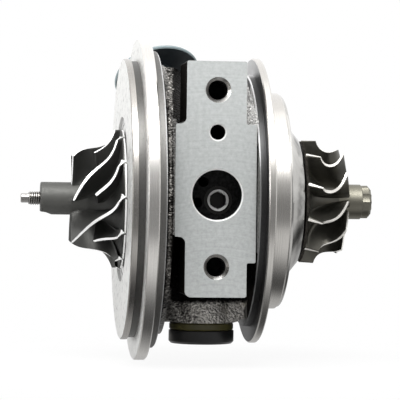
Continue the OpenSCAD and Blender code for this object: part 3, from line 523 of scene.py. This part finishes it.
def ring(bm, x, radii):
    """Points evenly round the shaft axis, one for each radius. A radius of nought gives one point."""
    if max(radii) == 0.0:
        return [bm.verts.new((x * MM, 0.0, 0.0))]
    pitch = 360.0 / len(radii)
    places = [round_shaft(x, r, pitch * k) for k, r in enumerate(radii)]
    return [bm.verts.new([c * MM for c in place]) for place in places]


def join_rings(bm, lower, upper, index):
    """Faces between two rings, either of which may be a single point."""
    count = max(len(lower), len(upper))
    faces = []
    for k in range(count):
        n = (k + 1) % count
        corners = [lower[k % len(lower)], lower[n % len(lower)], upper[n % len(upper)], upper[k % len(upper)]]
        corners = list(dict.fromkeys(corners))
        if len(corners) > 2:
            face = bm.faces.new(corners)
            face.material_index = index
            faces.append(face)
    return faces


def lathe(bm, profile, segments, band_index=lambda r, x: 0):
    """Revolves a profile about the shaft axis. band_index picks a finish from a band's middle."""
    rings = [ring(bm, x, [r] * segments) for r, x in profile]
    for i in range(len(rings) - 1):
        (r0, x0), (r1, x1) = profile[i:i + 2]
        join_rings(bm, rings[i], rings[i + 1], band_index((r0 + r1) / 2, (x0 + x1) / 2))


def bezier(points, t):
    a, b, c, d = (Vector(p) for p in points)
    return a * (1 - t) ** 3 + b * (3 * t * (1 - t) ** 2) + c * (3 * t * t * (1 - t)) + d * t ** 3


# Blades, for both wheels

# Stations up a blade as shares of its height, close together in the fillet. The first is in the hub.
SPANS = [-0.06, 0.0, 0.03, 0.07, 0.13, 0.22, 0.4, 0.6, 0.8, 1.0]
FILLET_REACH = 0.22
FILLET_RUN_IN = 0.08
FLARE_REACH = 0.6
FLARE_RUN = 0.1
EDGE_ROUNDING = 0.55
TIP_THIN = 0.85
TIP_SWELL = 0.3
SLOPE_STEP = 1e-3


def spaced(start, count):
    """Steps from start to 1, with one close step at each end for the rounded edges."""
    inner = [start + (1.0 - start) * i / count for i in range(1, count)]
    close = 0.012 * (1.0 - start)
    return [start, start + close] + inner + [1.0 - close, 1.0]


def blade(bm, root, tip, ts, turn, indices, root_t, tip_t, fillet, flare=0.0):
    """One blade from its root and tip lines. indices are the finishes of its faces, edges and inlet.
    The tip is thickest half way along, and flare widens the fillet towards the outlet."""
    face_index, edge_index, inlet_index = indices
    spin = Matrix.Rotation(-math.radians(turn), 3, "X")
    sides = ([], [])
    last = len(ts) - 1
    top = len(SPANS) - 1

    def centre(t, s):
        return root(t) + (tip(t) - root(t)) * s

    def half_thickness(t, s):
        height = max(s, 0.0)
        flared = flare * max(0.0, (t - 1.0 + FLARE_RUN) / FLARE_RUN)
        tip_now = tip_t * (TIP_THIN + TIP_SWELL * math.sin(math.pi * t))
        half = (root_t + (tip_now - root_t) * height) / 2
        reach = FILLET_REACH + FLARE_REACH * flared
        if s < reach:
            share = min(1.0, (t - ts[0]) / FILLET_RUN_IN) + flared
            half += fillet * share * (1.0 - height / reach) ** 3
        return half * EDGE_ROUNDING if t in (ts[0], ts[-1]) else half

    for t in ts:
        rows = ([], [])
        for s in SPANS:
            along = centre(min(t + SLOPE_STEP, 1.0), s) - centre(max(t - SLOPE_STEP, 0.0), s)
            normal = along.cross(tip(t) - root(t)).normalized()
            half = half_thickness(t, s)
            for row, sign in zip(rows, (1.0, -1.0)):
                row.append(bm.verts.new(spin @ (centre(t, s) + normal * half * sign) * MM))
        for side, row in zip(sides, rows):
            side.append(row)
    for i in range(last):
        for j in range(top):
            for side in sides:
                quad = [side[i][j], side[i + 1][j], side[i + 1][j + 1], side[i][j + 1]]
                bm.faces.new(quad).material_index = face_index
        strip = [sides[0][i][top], sides[0][i + 1][top], sides[1][i + 1][top], sides[1][i][top]]
        bm.faces.new(strip).material_index = edge_index
    for i in (0, last):
        for j in range(top):
            cap = [sides[0][i][j], sides[0][i][j + 1], sides[1][i][j + 1], sides[1][i][j]]
            bm.faces.new(cap).material_index = inlet_index if i == 0 else edge_index


# Compressor wheel

def wrapped(t, share, early, late):
    """Degrees that a blade still has to turn at t. A share of its wrap comes early, at the inlet."""
    return BLADE_WRAP * (share * (1 - (1 - t) ** early) + (1 - share) * t ** late - 1)


def compressor_tip(t):
    x, r = bezier(SHROUD_CURVE, t)
    return Vector(round_shaft(x, r - BLADE_INSET, wrapped(t, share=0.65, early=4.5, late=2)))


def compressor_root(t):
    x, r = bezier(HUB_CURVE, t)
    turn = wrapped(t, share=0.8, early=1.7, late=4) + OUTLET_RAKE * t ** 3
    return Vector(round_shaft(x, r - BLADE_INSET, turn))


def cut_balance_notch(vert):
    """Moves a point of the nose in to the surface of the ball cutter."""
    ball_r, ball_z = 4.5, 8.1
    x, y, z = vert.co / MM
    if z > 0.0 or math.dist((x, y, z), (NOSE_X, 0.0, -ball_z)) >= ball_r:
        return
    r = math.hypot(y, z)
    half = -ball_z * z / r
    new_r = half - math.sqrt(half ** 2 - ball_z ** 2 - (x - NOSE_X) ** 2 + ball_r ** 2)
    vert.co = Vector((x, y * new_r / r, z * new_r / r)) * MM


def build_compressor_wheel():
    """Hub with its nose and balance cut, full blades and splitters."""
    bm = bmesh.new()
    face, nose, edge = range(3)
    nose_start_x = NOSE_X + NOSE_BEVEL
    curve = [bezier(HUB_CURVE, i / 28) for i in range(29)]
    hub = [(WHEEL_BORE_R, COLLAR_X), (WHEEL_BORE_R, NOSE_X)]
    hub += [(NOSE_R - NOSE_BEVEL, NOSE_X), (NOSE_R, nose_start_x)]
    hub += [(NOSE_R, nose_start_x + 0.35 * i) for i in range(1, 14)]
    hub += [(NOSE_R, INLET_X - 0.5)]
    hub += [(r, x) for x, r in curve]
    hub += [(EXDUCER_R, RIM_EDGE_X), (EXDUCER_R, WHEEL_BACK_X), (WHEEL_RELIEF_R, WHEEL_BACK_X)]
    hub += [(COLLAR_R, WHEEL_BACK_X + WHEEL_RELIEF), (COLLAR_R, COLLAR_X), (WHEEL_BORE_R, COLLAR_X)]

    def band_index(r, x):
        if r > EXDUCER_R - 0.2:
            return edge if x > RIM_EDGE_X else face
        is_plain = x < INLET_X + 6.0 or x > RIM_X + 0.6
        return nose if is_plain else face

    lathe(bm, hub, segments=144, band_index=band_index)
    for vert in bm.verts:
        cut_balance_notch(vert)
    pitch = 360.0 / FULL_BLADES
    for k in range(FULL_BLADES):
        # The full blades' inlet edges take the bright edge finish as a painted highlight.
        for start, offset, inlet in ((0.0, 0.0, edge), (SPLITTER_START, 0.5, face)):
            turn = BLADE_CLOCK + pitch * (k + offset)
            blade(bm, compressor_root, compressor_tip, spaced(start, count=34), turn, (face, edge, inlet),
                  root_t=1.4, tip_t=0.9, fillet=0.5, flare=1.0)
    return finish_mesh("compressor_wheel_fine", bm, [WHEEL_FACE, WHEEL_NOSE, WHEEL_EDGE])


# Turbine wheel

def turbine_tip(t):
    x, r = bezier(TURBINE_SHROUD_CURVE, t)
    turn = TURBINE_TURN * t ** 6 - TURBINE_TIP_BOW * math.sin(math.pi * t)
    return Vector(round_shaft(x, r, turn))


def turbine_root(t):
    x, r = bezier(TURBINE_HUB_CURVE, t)
    turn = TURBINE_ROOT_LEAN * (1 - t) + 0.75 * TURBINE_TURN * t ** 4
    return Vector(round_shaft(x, r - TURBINE_ROOT_INSET, turn))


def twelve_points(bm, x0, x1, r, index):
    """The twelve-point end: a star of two hexagons with a chamfered front."""
    inner = r * math.cos(math.radians(30)) / math.cos(math.radians(15))
    chamfer, front_share = 0.9, 0.84
    rings = []
    for x, scale in ((x0, 1.0), (x1 - chamfer, 1.0), (x1, front_share)):
        rings.append(ring(bm, x, [r * scale, inner * scale] * 12))
    for lower, upper in zip(rings, rings[1:]):
        join_rings(bm, lower, upper, index)
    bm.faces.new(rings[-1]).material_index = index


def build_turbine_wheel():
    """Disc and hub, the twelve-point end and the blades."""
    bm = bmesh.new()
    face, boss, edge, disc_rim_shade = range(4)
    curve = [bezier(TURBINE_HUB_CURVE, i / 26) for i in range(26)]
    hub = [(0.0, WELD_X), (HEAD_R, WELD_X), (HEAD_R, TURBINE_BACK_X - TURBINE_RELIEF)]
    hub += [(TURBINE_RELIEF_R, TURBINE_BACK_X), (TURBINE_DISC_R, TURBINE_BACK_X)]
    hub += [(min(r, TURBINE_DISC_R), x) for x, r in curve]
    hub += [(TURBINE_BOSS_R, TURBINE_BOSS_X + 0.8), (TURBINE_BOSS_R, TWELVE_POINT_X - BOSS_BEVEL)]
    hub += [(TURBINE_BOSS_R - BOSS_BEVEL, TWELVE_POINT_X), (0.0, TWELVE_POINT_X)]

    def band_index(r, x):
        # Painted shade on the disc's back rim.
        if r > TURBINE_DISC_R - 1.5 and x < TURBINE_BACK_X + 2.0:
            return disc_rim_shade
        return boss if x > TURBINE_BOSS_X - 4.0 else face

    lathe(bm, hub, segments=96, band_index=band_index)
    twelve_points(bm, TWELVE_POINT_X - 0.1, ROTOR_END_X, TWELVE_POINT_R, boss)
    for k in range(TURBINE_BLADES):
        turn = TURBINE_CLOCK + 360.0 * k / TURBINE_BLADES
        blade(bm, turbine_root, turbine_tip, spaced(0.0, count=32), turn, (face, edge, edge),
              root_t=1.7, tip_t=0.9, fillet=0.6)
    return finish_mesh("turbine_wheel_fine", bm, [TURBINE_FACE, TURBINE_BOSS, TURBINE_EDGE, DISC_RIM_SHADE])


# Shaft with its rolled thread

def thread_radius(x, share):
    """Radius of the thread at x, a share of a turn round. It rises from the root over its first turn."""
    phase = ((x - THREAD_X) / THREAD_PITCH - share) % 1.0
    height = 1.0 - abs(2.0 * phase - 1.0)
    run_in = min(1.0, (x - THREAD_X) / 0.5)
    return THREAD_ROOT_R + THREAD_DEPTH * min(1.0, 1.25 * height) * run_in


def build_thread(bm, groove_shade_index):
    """The thread's rings, down to just inside the wheel's nose, with painted shade in the grooves."""
    rows, columns = 60, 48
    thread_length = NOSE_X + 1.0 - THREAD_X
    rings = []
    for i in range(rows + 1):
        x = THREAD_X + thread_length * i / rows
        rings.append(ring(bm, x, [thread_radius(x, k / columns) for k in range(columns)]))
    for lower, upper in zip(rings, rings[1:]):
        for face in join_rings(bm, lower, upper, 0):
            y, z = (sum(v.co[axis] for v in face.verts) / 4.0 for axis in (1, 2))
            # Painted shade in the thread's grooves.
            if math.hypot(y, z) < DARK_THREAD_R * MM:
                face.material_index = groove_shade_index


def build_shaft():
    bm = bmesh.new()
    tip = [(0.0, TIP_X), (PILOT_R - PILOT_BEVEL, TIP_X), (PILOT_R, TIP_X + PILOT_BEVEL)]
    tip += [(PILOT_R, THREAD_X), (THREAD_START_R, THREAD_X), (THREAD_START_R, THREAD_X + 0.1)]
    lathe(bm, tip, segments=48)
    build_thread(bm, groove_shade_index=1)
    stem = [(STEM_R, NOSE_X + 0.6), (STEM_R, SHOULDER_X), (JOURNAL_R, SHOULDER_X)]
    stem += [(JOURNAL_R, JOURNAL_END_X), (JOURNAL_R + 1.0, HEAD_X), (HEAD_R, HEAD_X)]
    stem += [(HEAD_R, RING_GROOVE_START_X), (RING_GROOVE_R, RING_GROOVE_START_X)]
    stem += [(RING_GROOVE_R, RING_GROOVE_END_X), (HEAD_R, RING_GROOVE_END_X)]
    stem += [(HEAD_R, WELD_X), (0.0, WELD_X)]
    lathe(bm, stem, segments=64)
    return finish_mesh("shaft_fine", bm, [SHAFT_STEEL, DARK_STEEL])


# Heat shield, with rounded bends

def bend(r, x, bend_r, start, end):
    """Part of a profile that turns from one angle to another about a point."""
    steps = 6
    angles = [math.radians(start + (end - start) * i / steps) for i in range(steps + 1)]
    return [(r + bend_r * math.cos(a), x + bend_r * math.sin(a)) for a in angles]


def build_heat_shield():
    bm = bmesh.new()
    foot_x = SPIGOT_END_X + SHIELD_SHEET
    inside_x = SHIELD_FACE_X - SHIELD_SHEET
    outer = [(SHIELD_RIM_R, SPIGOT_END_X), (SHIELD_RIM_R, foot_x - SHIELD_EDGE)]
    outer += [(SHIELD_RIM_R - SHIELD_EDGE, foot_x), (SHIELD_FOOT_R, foot_x)]
    outer += bend(FOOT_BEND_R, foot_x + OUTER_BEND, OUTER_BEND, -100, -160)
    outer += bend(TOP_BEND_R, SHIELD_FACE_X - OUTER_BEND, OUTER_BEND, 35, 90)
    hole = [(SHIELD_HOLE_R, SHIELD_FACE_X), (SHIELD_HOLE_R, inside_x)]
    inner = bend(INSIDE_BEND_R, inside_x - INNER_BEND, INNER_BEND, 90, 35)
    inner += [(SHIELD_WALL_R, foot_x + 0.3), (SHIELD_WALL_R, SPIGOT_END_X)]
    lathe(bm, outer + hole + inner + outer[:1], segments=128)
    return finish_mesh("heat_shield_fine", bm, [SHIELD_STAINLESS], sharp_deg=50.0)


# Web of casting that joins the pad to the flange's rim

def build_web():
    bm = bmesh.new()
    middle = (WEB_LOW + WEB_HIGH) / 2 * MM
    size = (WEB_HIGH - WEB_LOW) * MM
    place = Matrix.Translation(middle) @ Matrix.Diagonal((*size, 1.0))
    bmesh.ops.create_cube(bm, size=1.0, matrix=place)
    return finish_mesh("casting_web", bm, [WEB_CAST])


# Housing: the finish of each face follows how it was made, with painted light and shade in places

# Slack and widths in millimetres, and how square to an axis a face has to stand
SLACK = 0.05
FLAT = 0.02
RIM_EDGE_WIDTH = 0.6
BEVEL_WIDTH = 0.35
SQUARE = 0.9
TILTED = 0.5

# Where the recesses round the pad begin, their part that takes painted light, and their part that lies in the
# gap
RECESS_Y = -17.0
LIT_CAST_X = 30.0
LIT_CAST_Z = 20.0
GAP_X = 38.0
GAP_Z = -19.0


def is_inside(holes, x, z):
    return any(math.hypot(x - HOLE_ROW_X, z - hole_z) < hole_r for hole_z, hole_r in holes)


def hole_finish(y, normal, chamfer, wall):
    """Finish in a hole: its chamfer, its wall as deep as a thread goes, and painted shade, near black, below.
    """
    if y < PAD_Y + CHAMFER_DEPTH and -SQUARE < normal.y < -0.4:
        return chamfer
    return wall if y < PAD_Y + THREAD_LENGTH else BORED


def pad_finish(x, y, z, normal):
    """Finish of the milled pad and its holes, or None elsewhere."""
    if not PAD_LEFT_X < x < PAD_RIGHT_X:
        return None
    if abs(y - PAD_Y) < FLAT:
        return MILLED
    if y < HOLE_END_Y and is_inside(TAPPED_HOLES, x, z):
        return hole_finish(y, normal, CHAMFER, TAPPED)
    # Plain holes: painted highlight on the chamfer, painted shade inside.
    if y < HOLE_END_Y and is_inside(PLAIN_HOLES, x, z):
        return hole_finish(y, normal, PAINTED_HIGHLIGHT, BORED)
    return None


def recess_finish(x, y, z, normal):
    """Finish of the recesses round the pad, or None elsewhere: painted shade on most of their walls, and
    painted light on their upper rear part.
    """
    if PAD_LEFT_X < x < TURBINE_RING_X and y < RECESS_Y and abs(normal.x) > SQUARE:
        if x > LIT_CAST_X and z > LIT_CAST_Z:
            return LIT_CAST
        return GAP_CAST if x > GAP_X and z > GAP_Z else SHADED_CAST
    is_front = y > PAD_Y + 0.5 and normal.y < -0.7
    if LIT_CAST_X < x < TURBINE_RING_X and z > LIT_CAST_Z and is_front:
        return LIT_CAST
    return None


def flange_finish(x, r, normal):
    """Finish of the turned flanges and spigots at either end, or None elsewhere."""
    # Painted highlight metal on the wall of the front bore.
    if x < 0.0 and BORE_R < r < SEAT_R and abs(normal.x) < TILTED:
        return PAINTED_HIGHLIGHT
    if x < SLACK and normal.x < -SQUARE and r > BORE_R:
        return FACE
    if x < GROOVE_X + SLACK and r > GROOVE_R:
        return SPIGOT
    if 0.0 < x < BACK_STEP_X and r > GROOVE_R:
        return FLANGE_EDGE
    is_edge = TILTED <= normal.x < 0.95 and r > GROOVE_R
    if FLANGE_BACK_X - RIM_EDGE_WIDTH < x < FLANGE_BACK_X + SLACK and is_edge:
        return RIM_EDGE
    if BACK_STEP_X + SLACK < x < FLANGE_BACK_X + SLACK and normal.x < TILTED:
        return BACK_STEP
    # Painted shade in the spigot's groove.
    if GROOVE_X - SLACK < x < SLACK and SEAT_R < r < GROOVE_R + 0.5:
        return GROOVE_SHADE
    # Turbine ring: painted shade and reflection on its face, painted highlight on its bevel.
    if TURBINE_RING_X - SLACK < x < TURBINE_FLANGE_X + SLACK and normal.x < TILTED:
        is_bevel = normal.x < -0.3 and TURBINE_RING_X + SLACK < x < TURBINE_RING_X + BEVEL_WIDTH
        return BEVEL if is_bevel else RING_FACE
    if x < FLANGE_BACK_X + SLACK or x > TURBINE_RING_X - SLACK:
        return TURNED
    return None


def housing_finish(place, normal):
    """Finish of one face of the housing. The pad goes before the core, and the core before the rest."""
    x, y, z = (c / MM for c in place)
    r = math.hypot(y, z)
    finish = pad_finish(x, y, z, normal)
    if finish is None and r < CORE_R and not CORE_X < x < PAD_RIGHT_X:
        finish = TURNED
    return finish or recess_finish(x, y, z, normal) or flange_finish(x, r, normal) or CAST


def dress_housing():
    mesh = nodes["bearing_housing"].data
    mesh.materials.clear()
    finishes = (CAST, TURNED, MILLED, BORED, GROOVE_SHADE, CHAMFER, RING_FACE, LIT_CAST, SHADED_CAST,
                FACE, TAPPED, PAINTED_HIGHLIGHT, SPIGOT, FLANGE_EDGE, BACK_STEP, RIM_EDGE, BEVEL, GAP_CAST)
    for mat in finishes:
        mesh.materials.append(mat)
    for polygon in mesh.polygons:
        polygon.material_index = finishes.index(housing_finish(polygon.center, polygon.normal))
    smooth(mesh, sharp_deg=28.0)


# Smaller pieces, each in one finish, and the second finish of two of them

NODE_FINISHES = {
    "seal_plate": FACE,
    "seal_plate_o_ring": BLACK_RUBBER,
    "seal_plate_snap_ring": PAINTED_HIGHLIGHT,
    "oil_deflector": STAINLESS,
    "thrust_bearing": BRONZE,
    "thrust_bearing_screws": DARK_STEEL,
    "journal_bearing": BRONZE,
    "bearing_locating_screw": DARK_STEEL,
    "compressor_piston_rings": SPRING_STEEL,
    "turbine_piston_ring": SPRING_STEEL,
    "thrust_collar": SHAFT_STEEL,
    "thrust_washer": SHAFT_STEEL,
    "lower_coolant_plug": BLACK_PLASTIC,
    "lower_coolant_seal": OLIVE_RUBBER,
    "upper_coolant_cap": BLUE_GREY,
}


def dress_node(name, mat):
    mesh = nodes[name].data
    mesh.materials.clear()
    mesh.materials.append(mat)
    smooth(mesh, sharp_deg=30.0)


def dress_cap():
    """Painted shade: a darker copy of the cap's plastic on its underside and neck."""
    mesh = nodes["upper_coolant_cap"].data
    mesh.materials.append(CAP_SHADE)
    lean, angle = math.radians(CAP_LEAN), math.radians(CAP_ANGLE)
    outwards = Vector((0.0, math.cos(angle), math.sin(angle)))
    along = outwards * math.cos(lean) - Vector((math.sin(lean), 0.0, 0.0))
    brim = (Vector((CAP_X, 0.0, 0.0)) + outwards * CAP_R + along * CAP_BRIM) * MM
    for polygon in mesh.polygons:
        is_under = polygon.normal.dot(along) < -0.8 or (Vector(polygon.center) - brim).dot(along) < 0.0
        polygon.material_index = 1 if is_under else 0


def dress_screw():
    """Painted highlight on the chamfer round the locating screw's socket."""
    mesh = nodes["bearing_locating_screw"].data
    mesh.materials.append(PAINTED_HIGHLIGHT)
    for polygon in mesh.polygons:
        polygon.material_index = 1 if -0.95 < polygon.normal.y < -0.3 else 0


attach(build_web(), "stator")
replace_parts(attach(build_compressor_wheel(), "rotor"), "compressor_wheel")
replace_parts(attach(build_turbine_wheel(), "rotor"), "turbine_wheel")
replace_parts(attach(build_shaft(), "rotor"), "shaft")
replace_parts(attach(build_heat_shield(), "stator"), "heat_shield")
dress_housing()
for node_name, node_finish in NODE_FINISHES.items():
    dress_node(node_name, node_finish)
dress_cap()
dress_screw()


# Camera, in millimetres and degrees

LENS = 189.4
SENSOR = 36.0
CAMERA_TARGET_X = 24.22
CAMERA_DISTANCE = 770.0
CAMERA_YAW = 6.6
CAMERA_ROLL = 0.7


def aimed(place, target):
    """Matrix of a camera or lamp that stands at a place and looks at a target."""
    facing = (target - place).to_track_quat("-Z", "Y").to_matrix().to_4x4()
    return Matrix.Translation(place) @ facing


def build_camera():
    data = bpy.data.cameras.new("camera")
    data.sensor_width = SENSOR
    data.lens = LENS
    data.clip_start = 0.01
    camera = bpy.data.objects.new("camera", data)
    bpy.context.scene.collection.objects.link(camera)
    target = Vector((CAMERA_TARGET_X * MM, 0.0, 0.0))
    yaw = math.radians(CAMERA_YAW)
    backwards = Vector((-math.sin(yaw), -math.cos(yaw), 0.0))
    place = target + backwards * CAMERA_DISTANCE * MM
    camera.matrix_world = aimed(place, target) @ Matrix.Rotation(math.radians(CAMERA_ROLL), 4, "Z")
    bpy.context.scene.camera = camera


# Studio: white all round to the camera, with a bright ceiling, backdrop and side for reflections

# Levels of light: seen by the camera, falling on rough faces, and mirrored in polished ones
WHITE = 1.0
FILL = 0.42
CEILING = 1.25
BACKDROP = 0.8
SIDE = 0.6
HORIZON = (0.22, 0.46)

# Floor, in metres
FLOOR_RADIUS = 4.0
FLOOR_PLACE = (0.024, 0.0, -0.0592)
FLOOR_TONE = 0.82


def build_world():
    world = bpy.data.worlds.new("studio")
    bpy.context.scene.world = world
    world.use_nodes = True
    tree = world.node_tree
    tree.nodes.clear()
    output = tree.nodes.new("ShaderNodeOutputWorld")
    x, y, z = axes(tree, tree.nodes.new("ShaderNodeTexCoord").outputs["Generated"])
    above = smooth_step(tree, z, limits=(0.34, 0.6), levels=(0.0, CEILING))
    forward = smooth_step(tree, y, limits=(0.25, 0.55), levels=(1.0, 0.0))
    overhead = math_node(tree, "MULTIPLY", above, forward)
    behind = smooth_step(tree, y, limits=(0.1, 0.5), levels=(0.0, BACKDROP))
    beside = smooth_step(tree, x, limits=(0.35, 0.8), levels=(0.0, SIDE))
    low = smooth_step(tree, z, limits=(-0.02, 0.2), levels=HORIZON)
    bright = math_node(tree, "MAXIMUM", math_node(tree, "MAXIMUM", overhead, behind), beside)
    mirrored = background(tree, math_node(tree, "ADD", bright, low))
    path = tree.nodes.new("ShaderNodeLightPath")
    room = mixed(tree, path.outputs["Is Glossy Ray"], background(tree, FILL), mirrored)
    seen = math_node(tree, "MAXIMUM", path.outputs["Is Camera Ray"], path.outputs["Is Transmission Ray"])
    tree.links.new(mixed(tree, seen, room, background(tree, WHITE)), output.inputs["Surface"])


def floor_painted_light(tree):
    """Painted light and shadow that polished faces see in the floor: light in front, a painted shadow band
    below the part, light behind.
    """
    x, y, _ = axes(tree)
    slant = math_node(tree, "SUBTRACT", y, math_node(tree, "MULTIPLY", x, 0.333))
    lit_front = step_mm(tree, slant, limits=(-85.0, -33.0), levels=(0.76, 0.09))
    dim_front = step_mm(tree, y, limits=(-165.0, -105.0), levels=(0.36, 1.0))
    lit_back = step_mm(tree, slant, limits=(-29.0, -5.0), levels=(0.0, 0.45))
    mirrored = math_node(tree, "ADD", math_node(tree, "MULTIPLY", lit_front, dim_front), lit_back)
    painted_light_node = tree.nodes.new("ShaderNodeEmission")
    tree.links.new(mirrored, painted_light_node.inputs["Color"])
    return painted_light_node.outputs[0]


def floor_material():
    """White floor, clear to the camera apart from a faint shadow that fades with the distance."""
    mat, tree, bsdf = new_material("floor_white")
    bsdf.inputs["Base Color"].default_value = (*grey(FLOOR_TONE), 1.0)
    bsdf.inputs["Roughness"].default_value = 0.6
    path = tree.nodes.new("ShaderNodeLightPath")
    surface = mixed(tree, path.outputs["Is Glossy Ray"], bsdf.outputs[0], floor_painted_light(tree))
    distance = add(tree, "ShaderNodeVectorMath", operation="LENGTH")
    tree.links.new(object_coordinates(tree), distance.inputs[0])
    clearing = step_mm(tree, distance.outputs["Value"], limits=(30.0, 160.0), levels=(0.93, 1.0))
    seen = math_node(tree, "MULTIPLY", path.outputs["Is Camera Ray"], clearing)
    clear = tree.nodes.new("ShaderNodeBsdfTransparent").outputs[0]
    output = tree.nodes["Material Output"]
    tree.links.new(mixed(tree, seen, surface, clear), output.inputs["Surface"])
    return mat


def build_floor():
    bm = bmesh.new()
    bmesh.ops.create_circle(bm, cap_ends=True, segments=96, radius=FLOOR_RADIUS)
    floor = finish_mesh("floor", bm, [floor_material()])
    floor.location = FLOOR_PLACE


def build_light(name, place, target, size, power):
    """Soft rectangular lamp, with its places and size in metres."""
    data = bpy.data.lights.new(name, "AREA")
    data.shape = "RECTANGLE"
    data.size, data.size_y = size
    data.energy = power
    light = bpy.data.objects.new(name, data)
    bpy.context.scene.collection.objects.link(light)
    light.matrix_world = aimed(Vector(place), Vector(target))


build_camera()
build_world()
build_floor()
build_light("key", place=(-0.1, -0.5, 0.75), target=(0.024, 0.0, 0.0), size=(0.8, 0.4), power=13.0)
build_light("left", place=(-0.8, -0.35, 0.3), target=(0.0, 0.0, 0.0), size=(0.4, 0.6), power=2.5)

bpy.context.scene.view_settings.view_transform = "Standard"
